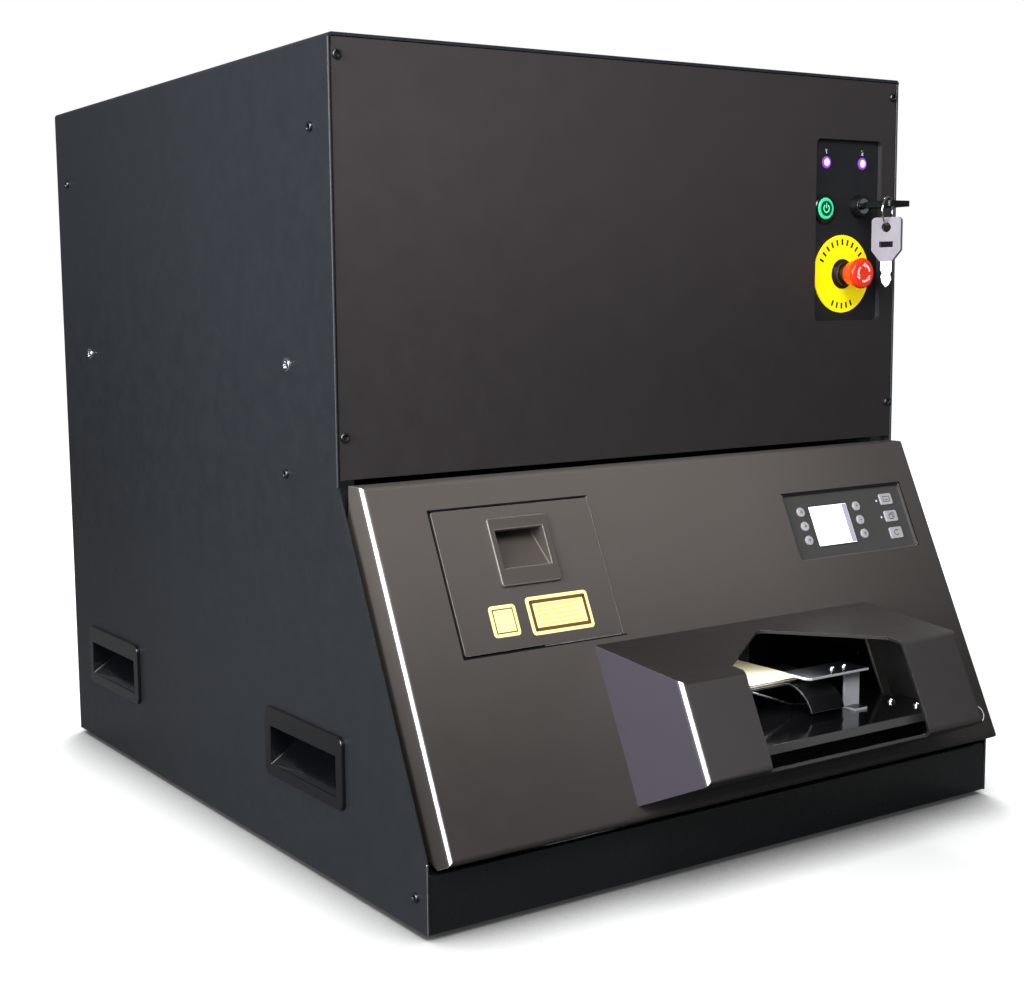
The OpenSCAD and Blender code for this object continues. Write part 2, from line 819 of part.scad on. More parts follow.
module lamp_lenses() {
  color("#d9b8ff") place() on_front(ctl_x, ctl_z, ctl_y)
    for (x = [0, lamp_gap]) translate([lamp_x + x, lamp_z, 0])
      rotate_extrude()
        polygon([[0, -14], [lamp_r, -14], [lamp_r, 0], [lamp_r + 0.7, 0], [lamp_r + 0.7, 0.6],
                 [lamp_r - 0.2, 0.6], [0.8 * lamp_r, 1.3], [0.5 * lamp_r, 1.8], [0, 2]]);
}

module power_button_housing() {
  barrel_r = power_cap_r + 1.2;
  color("#141416") place() on_front(ctl_x + power_x, ctl_z + power_z, ctl_y) difference() {
    rotate_extrude()
      polygon([[0, -24], [barrel_r, -24], [barrel_r, -sheet_t - 3], [power_bezel_r + 1, -sheet_t - 3],
               [power_bezel_r + 1, -sheet_t], [barrel_r, -sheet_t], [barrel_r, 0], [power_bezel_r, 0],
               [power_bezel_r, 2], [power_bezel_r - 1, 3], [0, 3]]);
    translate([0, 0, -6 - power_travel - 0.4]) cylinder(r = power_cap_r + run_gap, h = 20);
  }
}

module power_button() {
  color("#35c58d") place() on_front(ctl_x + power_x, ctl_z + power_z, ctl_y)
    rotate_extrude()
      polygon([[0, -6], [power_cap_r, -6], [power_cap_r, 3], [power_cap_r - 0.6, 3.6], [0, 3.6]]);
}

module key_switch_body() {
  color("#1a1a1c") place() on_front(ctl_x + lock_x, ctl_z + lock_z, ctl_y) difference() {
    union() {
      cylinder(r1 = lock_r, r2 = lock_r - 1.2, h = lock_proud);
      translate([0, 0, -30]) cylinder(r = lock_r - 1, h = 30 + eps);
      translate([0, 0, -sheet_t - 3]) cylinder(r = lock_r + 2, h = 3);
    }
    translate([0, 0, -26]) cylinder(r = rotor_r + run_gap, h = 60);
  }
}

module key_switch_rotor() {
  color("silver") place() on_front(ctl_x + lock_x, ctl_z + lock_z, ctl_y) difference() {
    translate([0, 0, -25.5]) cylinder(r = rotor_r, h = 25.5 + rotor_front);
    translate([-blade_w / 2 - 0.2, -blade_t / 2 - 0.2, rotor_front - blade_in - 0.6])
      cube([blade_w + 0.4, blade_t + 0.4, blade_in + 5]);
  }
}

// A flat key: the blade runs down and the grip up local y
module key_shape(hole_at) {
  difference() {
    translate([0, 0, -bow_t / 2]) linear_extrude(bow_t)
      polygon(round_poly([[-5, 0], [5, 0], [bow_w / 2, 8], [bow_w / 2, bow_l], [-bow_w / 2, bow_l],
                          [-bow_w / 2, 8]], [0, 0, 2, 3, 3, 2], 4));
    translate([0, hole_at, -bow_t]) cylinder(r = bow_hole_r, h = 2 * bow_t, $fn = 32);
  }
}

module inserted_key() {
  color("#17181a") place() on_front(ctl_x + lock_x, ctl_z + lock_z, ctl_y) {
    translate([0, 0, bow_start]) rotate([90, 0, 0]) key_shape(ring_hole - bow_start);
    translate([-blade_w / 2, -blade_t / 2, rotor_front - blade_in])
      cube([blade_w, blade_t, bow_start - rotor_front + blade_in]);
  }
}

// The split ring hangs through the grip's hole, turned a little off the front
module at_ring() {
  on_front(ctl_x + lock_x, ctl_z + lock_z, ctl_y)
    translate([0, 0, ring_hole]) rotate([0, ring_turn, 0])
      translate([ring_shift - ring_side, -ring_drop, 0]) children();
}

module key_ring() {
  color("silver") place() at_ring()
    rotate_extrude() translate([ring_mid, 0]) circle(ring_wire, $fn = 16);
}

module spare_key() {
  hole_at = bow_l - 4 - bow_hole_r;
  color("#8d8790") place() at_ring() translate([0, -ring_mid, 0]) rotate([0, 90, 0])
    translate([0, -hole_at - bow_hole_r + ring_wire + 0.3, 0]) {
      difference() {
        key_shape(hole_at);
        translate([0, 12.5, 0]) cube([11, 4.4, 2 * bow_t], center = true);
      }
      translate([0, -20, -blade_t / 2]) linear_extrude(blade_t)
        polygon([[-4.5, 20], [-4.5, 12], [-3.2, 10], [-4.3, 6], [-2.6, 2], [0, 0], [3, 3], [4.2, 8],
                 [3.2, 11], [4.5, 13], [4.5, 20]]);
    }
}

module stop_button_plate() {
  color("gold") place() on_front(ctl_x + stop_x, ctl_z + stop_z, ctl_y) difference() {
    cylinder(r = stop_plate_r, h = stop_plate_t, $fn = 96);
    translate([0, 0, -cut]) cylinder(r = stop_collar_r + 1.9, h = 4);
  }
}

module stop_button_body() {
  barrel_r = stop_collar_r + 1.8;
  color("#2a211c") place() on_front(ctl_x + stop_x, ctl_z + stop_z, ctl_y) difference() {
    union() {
      translate([0, 0, -20]) cylinder(r = barrel_r, h = 20 + stop_plate_t);
      translate([0, 0, stop_plate_t]) cylinder(r = barrel_r + 0.6, h = 0.8);
      cylinder(r = stop_collar_r, h = stop_collar_h);
      translate([0, 0, -sheet_t - 4]) cylinder(r = barrel_r + 3, h = 4);
      translate([-15, -15, -54]) cube([30, 30, 34 + eps]);
    }
    translate([0, 0, -18]) cylinder(r = stop_stem_r + run_gap, h = 60);
  }
}

module stop_button_stem() {
  color("#2a211c") place() on_front(ctl_x + stop_x, ctl_z + stop_z, ctl_y) {
    stem_rear = stop_travel + 0.5 - 18;
    translate([0, 0, stem_rear]) cylinder(r = stop_stem_r, h = stop_rear - stem_rear);
    translate([0, 0, stop_rear - eps]) cylinder(r = 3.5, h = stop_head_d - 4 + eps);
  }
}

module stop_button_head() {
  r = stop_head_r;
  side = [[r - 3, 0], [r, stop_head_d - 4], [r, stop_head_d], [0, stop_head_d]];
  color("#e8402a") place() on_front(ctl_x + stop_x, ctl_z + stop_z, ctl_y)
    translate([0, 0, stop_rear + 0.2]) difference() {
      rotate_extrude() polygon(concat([[0, 0], [r - 3, 0]], round_poly(side, [0, 2, 2.5, 0], 4)));
      translate([0, 0, -cut]) cylinder(r = 3.5 + run_gap, h = stop_head_d - 4 + 0.4 + cut);
    }
}

// --- sloped cover ---

module cover_outline(in, reach) {
  polygon(round_poly([
    [cover_back_y + (reach > 0 ? 60 : 0), cover_z - in],
    [on_yz(cover_s, face_t)[0] + in * tan((90 - slope_a) / 2), cover_z - in],
    on_yz(-cover_drop + in, face_t - in),
    on_yz(-cover_drop + in, reach > 0 ? -60 : 0.5),
    on_yz(reach > 0 ? 60 : 5, reach > 0 ? -60 : -10),
    reach > 0 ? [cover_back_y + 60, 150] : on_yz(222, -10),
    [cover_back_y + (reach > 0 ? 60 : 0), cover_z - 12 - in]
  ], [0, max(cover_r - in, 0.5), max(cover_r - in, 0.5), 0, 0, 0, 0]));
}

// A body with rounded long edges, run up the slope
module slope_bar(half, top_t, r) {
  on_slope() translate([0, 400, 0]) rotate([90, 0, 0]) linear_extrude(500)
    polygon(round_poly([[-half, -200], [half, -200], [half, top_t], [-half, top_t]], [0, 0, r, r]));
}

module front_cover() {
  color("#5b534f") place() difference() {
    intersection() {
      along_x(-cover_half, cover_half) cover_outline(0, 0);
      slope_bar(cover_half, face_t, cover_r);
    }
    intersection() {
      along_x(-cover_half + sheet_t, cover_half - sheet_t) cover_outline(sheet_t, 1);
      slope_bar(cover_half - sheet_t, face_t - sheet_t, cover_r - sheet_t);
    }
    on_slope(door_x0, door_s0, 0) cube([door_w, door_h, 40]);
    on_slope(disp_x, disp_s, 5) linear_extrude(30) rounded_rect(disp_w, disp_h, 3);
    on_slope(out_x0, out_s0, 5) cube([out_x1 - out_x0, out_s1 - out_s0, 30]);
  }
}

// The hood's section, drawn in (s, t)
module hood_section(in, r) {
  slant = atan2(hood_out, hood_top_s - hood_fold_s);
  dx = in / sin(slant);
  polygon(round_poly([
    [hood_foot_s + in, in > 0 ? face_t - 20 : face_t],
    [hood_foot_s + in, hood_face_t - in],
    [hood_fold_s - in * tan(slant / 2), hood_face_t - in],
    [hood_top_s - dx + (in > 0 ? 20 / tan(slant) : 0), in > 0 ? face_t - 20 : face_t]
  ], [0, r, r, 0]));
}

module hood_body(in, r) {
  half = hood_w / 2 - in;
  face = hood_face_t - in;
  on_slope() intersection() {
    translate([hood_x0 + in, 0, 0]) rotate([90, 0, 90]) linear_extrude(2 * half) hood_section(in, r);
    translate([hood_x0 + hood_w / 2, 300, 0]) rotate([90, 0, 0]) linear_extrude(400)
      polygon(round_poly([[-half, -60], [half, -60], [half, face], [-half, face]], [0, 0, r, r]));
  }
}

// The mouth: a slot down the front that runs back into the top as a blunt V
module mouth_plan() {
  front = on_yz(hood_fold_s, hood_face_t)[0];
  polygon(round_poly([[mouth_x0, front - 80], [mouth_x1, front - 80], [mouth_x1, front + mouth_corner],
    [mouth_x, front + mouth_corner + mouth_back], [mouth_x0, front + mouth_corner]], [0, 0, 7, 9, 7]));
}

module output_hood() {
  fold = on_yz(hood_fold_s, hood_face_t);
  color("#47444a") place() difference() {
    hood_body(0, hood_r);
    hood_body(hood_t, hood_r - hood_t);
    translate([0, 0, fold[1] - 12]) linear_extrude(60) mouth_plan();
    on_slope(mouth_x0, hood_foot_s + hood_t, hood_face_t - 12) cube([mouth_w, hood_fold_s, 30]);
    on_slope(mouth_x0, hood_foot_s - 10, hood_face_t - hood_r - 1) cube([mouth_w, 30, 30]);
  }
}

module cover_hinge_ears() {
  color("gray") place() for (m = [0, 1]) mirror([m, 0, 0]) difference() {
    along_x(ear_x, ear_x + ear_t) {
      translate([pivot_y, pivot_z]) circle(nose_r);
      polygon([[pivot_y - nose_r, pivot_z], [pivot_y + 4, pivot_z], [pivot_y + 4, cover_z - sheet_t],
               [pivot_y - 4, cover_z - sheet_t]]);
      polygon([[pivot_y - nose_r, pivot_z], [pivot_y, pivot_z - nose_r], on_yz(cover_s - 37, 4),
               on_yz(cover_s - 37, ear_top_t), on_yz(cover_s - 10, ear_top_t)]);
    }
    x_pin(ear_x - cut, ear_x + ear_t + cut, pivot_y, pivot_z, pin_r + run_gap);
  }
}

module cover_hinge_brackets() {
  x1 = ear_x - 0.4;
  x0 = x1 - bracket_plate;
  color("gray") place() for (m = [0, 1]) mirror([m, 0, 0]) {
    along_x(x0, x1) {
      translate([pivot_y, pivot_z]) circle(nose_r);
      polygon([[pivot_y - 4, pivot_z - 3.5], [pivot_y + 5, pivot_z - 2.2], [post_y, pivot_z - 15],
               [post_y, pivot_z - 42], [post_y - 7, pivot_z - 42]]);
    }
    x_pin(x0, ear_x + ear_t - 0.3, pivot_y, pivot_z, pin_r);
    translate([x0, post_y - 2, pivot_z - 42]) cube([13, 2, 27]);
  }
}

// --- display ---

module display_plate() {
  color("#2b2a2c") place() on_slope(disp_x, disp_s, 0) {
    difference() {
      translate([0, 0, disp_plate_back]) linear_extrude(cover_under_t - disp_plate_back)
        rounded_rect(disp_w + 2 * disp_edge, disp_h + 2 * disp_edge, 4);
      translate([0, 0, disp_floor]) linear_extrude(20) rounded_rect(disp_w, disp_h, 3);
      translate([lcd_dx, lcd_ds, 0]) linear_extrude(20) square([lcd_w + 0.4, lcd_h + 0.4], center = true);
      for (x = round_dx, s = round_ds)
        translate([x, s, 0]) cylinder(r = round_key_r + 0.2, h = 20);
      for (s = square_ds)
        translate([square_dx, s, 0]) linear_extrude(20)
          rounded_rect(square_key_w + 0.4, square_key_h + 0.4, 1.7);
    }
    for (x = [-1, 1], s = [-1, 1])
      translate([x * (disp_w / 2 - 4), s * (disp_h / 2 + 1), board_t])
        cylinder(r = 2, h = disp_plate_back - board_t + eps);
  }
}

module display_screen() {
  color("#f2f4ff") place() on_slope(disp_x, disp_s, 0) {
    translate([0, 0, board_t - 1.6]) linear_extrude(1.6) square([disp_w, disp_h + 8], center = true);
    translate([lcd_dx, lcd_ds, board_t - eps]) linear_extrude(disp_floor + 0.3 - board_t)
      square([lcd_w, lcd_h], center = true);
  }
}

// A key cap with a flange behind the plate that keeps it in
module round_key(i) {
  x = round_dx[floor(i / 3)];
  s = round_ds[i % 3];
  low = board_t + key_travel + 0.4;
  flange = disp_plate_back - flange_gap;
  color("#b9b6bc") place() on_slope(disp_x + x, disp_s + s, 0) rotate_extrude()
    polygon([[0, low], [round_key_r + 1, low], [round_key_r + 1, flange], [round_key_r, flange],
             [round_key_r, disp_floor + 0.8], [round_key_r - 0.4, disp_floor + 1.1], [0, disp_floor + 1.2]]);
}

module round_key_1() { round_key(0); }
module round_key_2() { round_key(1); }
module round_key_3() { round_key(2); }
module round_key_4() { round_key(3); }
module round_key_5() { round_key(4); }
module round_key_6() { round_key(5); }

module square_key(i) {
  low = board_t + key_travel + 0.4;
  color("#b9b6bc") place() on_slope(disp_x + square_dx, disp_s + square_ds[i], 0) {
    translate([0, 0, low]) linear_extrude(disp_plate_back - flange_gap - low)
      rounded_rect(square_key_w + 2, square_key_h + 2, 1.5);
    translate([0, 0, low]) linear_extrude(disp_floor + 1 - low)
      rounded_rect(square_key_w, square_key_h, 1.5);
  }
}

module square_key_1() { square_key(0); }
module square_key_2() { square_key(1); }
module square_key_3() { square_key(2); }

// --- access door ---

module access_door() {
  w = door_w - 2 * door_gap;
  h = door_h - 2 * door_gap;
  color("#5b534f") place() difference() {
    union() {
      on_slope(door_x0 + door_w / 2, door_s0 + door_h / 2, door_back_t) linear_extrude(door_t)
        rounded_rect(w, h, 1.5);
      for (x = [door_x0 + door_gap, door_x0 + door_w - door_gap - lug_w]) on_slope() {
        translate([x, pivot_s, pivot_t]) rotate([0, 90, 0]) cylinder(r = lug_r, h = lug_w);
        translate([x, pivot_s - lug_r, pivot_t]) cube([lug_w, 2 * lug_r, door_back_t - pivot_t + eps]);
      }
    }
    on_slope() translate([door_x0 - cut, pivot_s, pivot_t]) rotate([0, 90, 0])
      cylinder(r = door_pin_r + run_gap, h = door_w + 2 * cut);
    on_slope(pull_x, pull_s, 0) linear_extrude(40)
      square([pull_w - 2 * pull_rim + 0.4, pull_h - 2 * pull_rim + 0.4], center = true);
  }
}

// The pull's pocket runs deeper behind its upper edge
module finger_pull() {
  ow = pull_w - 2 * pull_rim;
  oh = pull_h - 2 * pull_rim;
  iw = ow - 2 * pull_wall;
  front = door_face_t + pull_proud;
  back = door_face_t - pull_depth;
  low = -pull_h / 2 + 12;
  high = pull_h / 2 - 8.5;
  color("#4a4441") place() on_slope(pull_x, pull_s, 0) difference() {
    union() {
      translate([0, 0, door_face_t]) linear_extrude(pull_proud) rounded_rect(pull_w, pull_h, 2);
      translate([0, 0, back]) linear_extrude(pull_depth + eps) square([ow, oh], center = true);
    }
    rotate([90, 0, 90]) translate([0, 0, -iw / 2]) linear_extrude(iw)
      polygon([[low, front + cut], [low, front - 3], [oh / 2 - pull_wall, back + 3.5],
               [oh / 2 - pull_wall, door_back_t - 2], [high, door_back_t], [high, front + cut]]);
  }
}

module door_hinge_pins() {
  out = 6;
  color("silver") place() on_slope() for (side = [0, 1]) {
    x0 = side == 0 ? door_x0 - out : door_x0 + door_w - door_gap - lug_w + 0.3;
    x1 = side == 0 ? door_x0 + door_gap + lug_w - 0.3 : door_x0 + door_w + out;
    ear = side == 0 ? x0 : x1 - 3;
    translate([x0, pivot_s, pivot_t]) rotate([0, 90, 0]) cylinder(r = door_pin_r, h = x1 - x0);
    difference() {
      translate([ear, pivot_s - 5, pivot_t - 4]) cube([3, 10, cover_under_t - pivot_t + 4]);
      translate([ear - cut, pivot_s, pivot_t]) rotate([0, 90, 0]) cylinder(r = door_pin_r, h = 3 + 2 * cut);
    }
    translate([ear, pivot_s, pivot_t]) rotate([0, 90, 0]) cylinder(r = door_pin_r + eps, h = 3);
  }
}

// --- card output, carried by the cover ---

module output_tray() {
  side = hood_t;
  color("#121316") place() difference() {
    union() {
      translate([hood_x0 + side, -tray_out, tray_z - tray_t])
        cube([hood_w - 2 * side, tray_out - 6, tray_t]);
      translate([out_x0 + 1, -tray_out, tray_z - tray_t])
        cube([out_x1 - out_x0 - 2, tray_out + tray_back_y, tray_t]);
    }
    on_slope(hood_x0 - cut, 0, -60) cube([out_x0 + 1 - hood_x0 + cut, 300, 60 + face_t]);
    on_slope(out_x1 - 1, 0, -60) cube([40, 300, 60 + face_t]);
  }
}

// Bright angle that carries the end of the card path
module output_bracket() {
  leg_x = bracket_x1 - bracket_leg;
  c = bracket_chamfer;
  color("silver") place() difference() {
    union() {
      translate([bracket_x1 - bracket_w, bracket_y0, bracket_top - bracket_t]) linear_extrude(bracket_t)
        polygon([[c, 0], [bracket_w, 0], [bracket_w, bracket_l], [c, bracket_l], [0, bracket_l - c], [0, c]]);
      translate([leg_x, -8 - bracket_t, tray_z])
        cube([bracket_leg, bracket_t, bracket_top - tray_z]);
      translate([leg_x, -8 - 12, tray_z]) cube([12, 12, bracket_t]);
    }
    for (x = [24, 12])
      translate([bracket_x1 - x, -6, bracket_top - 4]) cylinder(r = 1.6, h = 8, $fn = 24);
  }
}

// Black guide plate whose front end curves down to the tray
module card_chute() {
  top = deck_under;
  r = 26;
  bend_y = 6;
  t = 1.5;
  x0 = mouth_x - 59;
  x1 = bracket_x1 - bracket_leg - 1;
  color("#161618") place() {
    translate([x0, bend_y, top - t]) cube([x1 - x0, 50 - bend_y, t]);
    translate([chute_x0, 0, 0]) rotate([90, 0, 90]) linear_extrude(chute_w) intersection() {
      translate([bend_y, top - r]) difference() {
        circle(r, $fn = 64);
        circle(r - t, $fn = 64);
      }
      translate([bend_y - r, tray_z + 4]) square([r, r]);
    }
    for (x = [x0, x1 - 6]) translate([x, 30, tray_z]) cube([6, 8, top - t - tray_z]);
  }
}

module printed_card() {
  color("#f3ead2") place() translate([card_x0, card_front, card_z]) linear_extrude(card_t)
    translate([card_w / 2, card_l / 2]) rounded_rect(card_w, card_l, 3);
}

// --- works ---

// A block of the works, from one wall to the other
module works_block(y, z, depth, height) {
  translate([works_x - works_half, works_y0 + y, z]) cube([2 * works_half, depth, height]);
}

module printer_frame() {
  works_l = works_y1 - works_y0;
  floor_z = sheet_t + works_floor;
  x0 = works_x - works_half - cut;
  x1 = works_x + works_half + cut;
  color("gray") place() difference() {
    union() {
      for (x = [works_x - works_half, works_x + wall_in])
        translate([x, works_y0, sheet_t]) cube([works_wall, works_l, works_top - sheet_t]);
      works_block(0, floor_z, works_l, 3);
      works_block(works_l - works_bar, works_top - works_bar, works_bar, works_bar);
      works_block(60, works_top - works_bar, works_bar, works_bar);
      for (y = [48, 128]) works_block(y, card_z - 12, 8, 8 + eps);
      works_block(0, floor_z, 2, card_z - slot_half - floor_z);
      works_block(0, card_z + slot_half, 2, works_top - card_z - slot_half);
      translate([works_x - 40, works_y0 + 45, card_z - 4]) cube([80, 100, 3]);
    }
    x_pin(x0, x1, roller_y, drive_z, shaft_r + run_gap);
    x_pin(x0, x1, roller_y, press_z, shaft_r + run_gap);
    x_pin(x0, works_x - wall_in + cut, roller_y, motor_z, pulley_r + belt_t + 1);
  }
}

module drive_roller() {
  color("#33363b") place() {
    x_pin(pulley_x - belt_w / 2 - 2, works_x + works_half + 6, roller_y, drive_z, shaft_r);
    for (x = [-50, 0, 50]) x_pin(works_x + x - 12, works_x + x + 12, roller_y, drive_z, roller_r);
    x_pin(pulley_x - belt_w / 2 - 1, pulley_x + belt_w / 2 + 1, roller_y, drive_z, pulley_r);
  }
}

module pressure_roller() {
  color("#33363b") place() {
    x_pin(works_x - works_half - 4, works_x + works_half + 4, roller_y, press_z, shaft_r);
    for (x = [-50, 0, 50]) x_pin(works_x + x - 12, works_x + x + 12, roller_y, press_z, press_r);
  }
}

module feed_motor() {
  x1 = works_x - wall_in;
  color("#26282b") place() difference() {
    translate([x1, roller_y - motor_size / 2, motor_z - motor_size / 2]) cube([40, motor_size, motor_size]);
    x_pin(x1 - cut, x1 + 25, roller_y, motor_z, 2.5 + run_gap);
  }
}

module motor_pulley() {
  x1 = works_x - wall_in;
  color("silver") place() {
    x_pin(pulley_x - belt_w / 2 - 2, x1 + 24, roller_y, motor_z, 2.5);
    x_pin(pulley_x - belt_w / 2 - 1, pulley_x + belt_w / 2 + 1, roller_y, motor_z, pulley_r);
  }
}

module belt_outline(r) {
  translate([roller_y, drive_z]) circle(r);
  translate([roller_y, motor_z]) circle(r);
  translate([roller_y - r, motor_z]) square([2 * r, belt_run]);
}

module drive_belt() {
  color("#101010") place() along_x(pulley_x - belt_w / 2, pulley_x + belt_w / 2) difference() {
    belt_outline(pulley_r + 0.3 + belt_t);
    belt_outline(pulley_r + 0.3);
  }
}

module marking_unit() {
  color("#7c8086") place() translate([mark_x1 - mark_w, mark_y0, deck_top]) {
    cube([mark_w, mark_l, mark_h]);
    for (x = [fin_step / 2:fin_step:mark_w - 8]) translate([x, 8, mark_h - eps]) cube([3, mark_l - 16, 14]);
  }
}

// Two-mirror head over the card path, with its lens hung through the deck
module scan_head() {
  color("#2f3136") place() {
    translate([works_x - head_w / 2, lens_y - head_w / 2, deck_top]) cube([head_w, head_w, head_h]);
    translate([works_x, lens_y, deck_z - lens_drop]) difference() {
      cylinder(r = lens_r, h = lens_drop + deck_t + eps);
      translate([0, 0, -cut]) cylinder(r = lens_r - 8, h = 9);
    }
    translate([works_x + 20 - duct_w, mark_y0 - 30 - eps, duct_z]) cube([duct_w, 30 + eps, duct_h]);
    translate([mark_x1, mark_y0 - eps, duct_z]) cube([works_x + 20 - mark_x1, 20, duct_h]);
  }
}

module power_supply() {
  color("#a7abb0") place() difference() {
    translate([psu_x0, psu_y0, sheet_t]) cube([psu_w, psu_l, psu_h]);
    for (y = [15:slot_step:psu_l - 15])
      translate([psu_x0 + 10, psu_y0 + y, sheet_t + psu_h - 2]) cube([psu_w - 20, 6, 6]);
  }
}

module control_board() {
  color("#1f6b3a") place() {
    for (x = [pillar_in, board_w - pillar_in], y = [pillar_in, board_l - 30])
      translate([board_x0 + x, board_y0 + y, sheet_t]) cylinder(r = 4, h = board_z - sheet_t, $fn = 24);
    translate([board_x0, board_y0, board_z]) cube([board_w, board_l, board_h]);
    for (i = [0:3]) translate([socket_x + i * socket_step + 0.3, cab_d - 24, board_z + board_h - eps])
      cube([socket_w - 0.6, 24, socket_h + eps]);
    translate([board_x0 + 26, board_y0 + 56, board_z + board_h - eps]) cube([34, 34, 12]);
    translate([board_x0 + 96, board_y0 + 36, board_z + board_h - eps]) cube([24, 24, 5]);
  }
}

module fan_frame() {
  y0 = cab_d - sheet_t - fan_d;
  hole_at = fan_size / 2 - 7.5;
  color("#17181a") place() translate([fan_x, y0 + fan_d, fan_z]) rotate([90, 0, 0]) {
    difference() {
      linear_extrude(fan_d) rounded_rect(fan_size, fan_size, 5);
      translate([0, 0, -cut]) cylinder(r = fan_bore, h = fan_d + 2 * cut, $fn = 72);
      for (x = [-hole_at, hole_at], y = [-hole_at, hole_at])
        translate([x, y, -cut]) cylinder(r = 2.2, h = fan_d + 2 * cut, $fn = 24);
    }
    translate([0, 0, fan_d - 4]) difference() {
      union() {
        cylinder(r = 19, h = 4);
        for (a = [45:90:315]) rotate(a) translate([15, -3, 0]) cube([fan_bore - 14, 6, 4]);
      }
      translate([0, 0, -cut]) cylinder(r = 2 + run_gap, h = 4 + 2 * cut);
    }
  }
}

module fan_rotor() {
  y0 = cab_d - sheet_t;
  color("#202226") place() translate([fan_x, y0, fan_z]) rotate([90, 0, 0]) {
    translate([0, 0, 3]) cylinder(r = 20, h = fan_d - 8);
    translate([0, 0, 3]) cylinder(r = 2, h = fan_d - 4);
    intersection() {
      for (i = [0:fan_blades - 1]) rotate(360 / fan_blades * i)
        translate([18, 0, 11]) rotate([38, 0, 0]) cube([fan_bore, 1.6, 20], center = false);
      translate([0, 0, 4]) cylinder(r = fan_bore - 2, h = fan_d - 10);
    }
  }
}

module mains_inlet() {
  color("#151517") place() translate([inlet_x, cab_d, inlet_z]) rotate([-90, 0, 0]) difference() {
    union() {
      linear_extrude(inlet_t) rounded_rect(inlet_w, inlet_h, 3);
      translate([-inlet_w / 2 + 5.4, -inlet_h / 2 + 3.4, -26])
        cube([inlet_w - 10.8, inlet_h - 6.8, 26 + eps]);
    }
    translate([0, 13, -18]) linear_extrude(40)
      polygon([[-12.2, -8.3], [12.2, -8.3], [12.2, 3.5], [7.6, 8.3], [-7.6, 8.3], [-12.2, 3.5]]);
    translate([-11, rocker_y - rocker_r - 0.3, -13]) cube([22, 2 * rocker_r + 0.6, 40]);
    translate([-14, rocker_y, rocker_z]) rotate([0, 90, 0]) cylinder(r = 1.5 + run_gap, h = 28);
  }
}

// Seesaw rocker on two small trunnions
module mains_rocker() {
  end_z = 4.6 + 9 * tan(rocker_tilt);
  color("#1d1d1f") place() translate([inlet_x, cab_d, inlet_z]) rotate([-90, 0, 0])
    translate([0, rocker_y, rocker_z]) {
      rotate([rocker_tilt, 0, 0]) rotate([90, 0, 90]) translate([0, 0, -10.6]) linear_extrude(21.2)
        intersection() {
          circle(rocker_r);
          polygon([[-9, -4], [9, -4], [9, end_z], [0, 4.6], [-9, end_z]]);
        }
      translate([-13.6, 0, 0]) rotate([0, 90, 0]) cylinder(r = 1.5, h = 27.2);
    }
}

base_pan();
left_side_panel();
right_side_panel();
top_panel();
rear_panel();
chassis_frame();
upper_front_panel();
front_plinth();
rubber_feet();
carry_handles();
panel_screws();
control_plate();
lamp_lenses();
power_button_housing();
power_button();
key_switch_body();
key_switch_rotor();
inserted_key();
key_ring();
spare_key();
stop_button_plate();
stop_button_body();
stop_button_stem();
stop_button_head();
front_cover();
output_hood();
cover_hinge_ears();
cover_hinge_brackets();
display_plate();
display_screen();
round_key_1();
round_key_2();
round_key_3();
round_key_4();
round_key_5();
round_key_6();
square_key_1();
square_key_2();
square_key_3();
access_door();
finger_pull();
door_hinge_pins();
output_tray();
output_bracket();
card_chute();
printed_card();
printer_frame();
drive_roller();
pressure_roller();
feed_motor();
motor_pulley();
drive_belt();
marking_unit();
scan_head();
power_supply();
control_board();
fan_frame();
fan_rotor();
mains_inlet();
mains_rocker();
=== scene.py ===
import json
import math

import bmesh
import bpy
from mathutils import Matrix, Vector

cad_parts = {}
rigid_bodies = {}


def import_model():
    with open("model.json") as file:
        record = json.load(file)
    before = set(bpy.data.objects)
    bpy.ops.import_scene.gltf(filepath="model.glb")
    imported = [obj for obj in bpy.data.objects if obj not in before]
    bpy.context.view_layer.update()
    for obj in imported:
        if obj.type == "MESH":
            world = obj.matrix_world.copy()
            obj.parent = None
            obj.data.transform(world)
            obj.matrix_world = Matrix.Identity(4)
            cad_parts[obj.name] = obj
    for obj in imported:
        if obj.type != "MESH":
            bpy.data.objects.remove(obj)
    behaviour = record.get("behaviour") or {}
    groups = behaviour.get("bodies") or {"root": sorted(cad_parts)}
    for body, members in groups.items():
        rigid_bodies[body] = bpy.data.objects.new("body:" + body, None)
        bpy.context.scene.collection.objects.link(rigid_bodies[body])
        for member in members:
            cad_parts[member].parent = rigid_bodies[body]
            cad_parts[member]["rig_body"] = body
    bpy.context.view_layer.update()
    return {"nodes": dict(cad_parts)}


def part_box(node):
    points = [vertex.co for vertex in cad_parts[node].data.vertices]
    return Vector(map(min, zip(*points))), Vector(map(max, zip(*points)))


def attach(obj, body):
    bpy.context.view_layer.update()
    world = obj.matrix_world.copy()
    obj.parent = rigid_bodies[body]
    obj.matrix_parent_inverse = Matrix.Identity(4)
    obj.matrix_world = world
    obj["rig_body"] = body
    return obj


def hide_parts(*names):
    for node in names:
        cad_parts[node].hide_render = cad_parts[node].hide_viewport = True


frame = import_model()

# Sizes below are in millimetres, counted from the middle of the cabinet's foot edge
cabinet = {"halfWidth": 257.0, "height": 550.0, "depth": 594.0, "midDepth": 259.0885, "footHeight": 4.0,
           "slopeFoot": 44.0, "slopeAngle": math.atan2(100.5, 221.6)}


def say(stage):
    print("card printer:", stage)


def addObject(name, data):
    added = bpy.data.objects.new(name, data)
    bpy.context.scene.collection.objects.link(added)
    return added


def meshOf(name, shape):
    mesh = bpy.data.meshes.new(name)
    shape.to_mesh(mesh)
    shape.free()
    return mesh


# ---------- places ----------

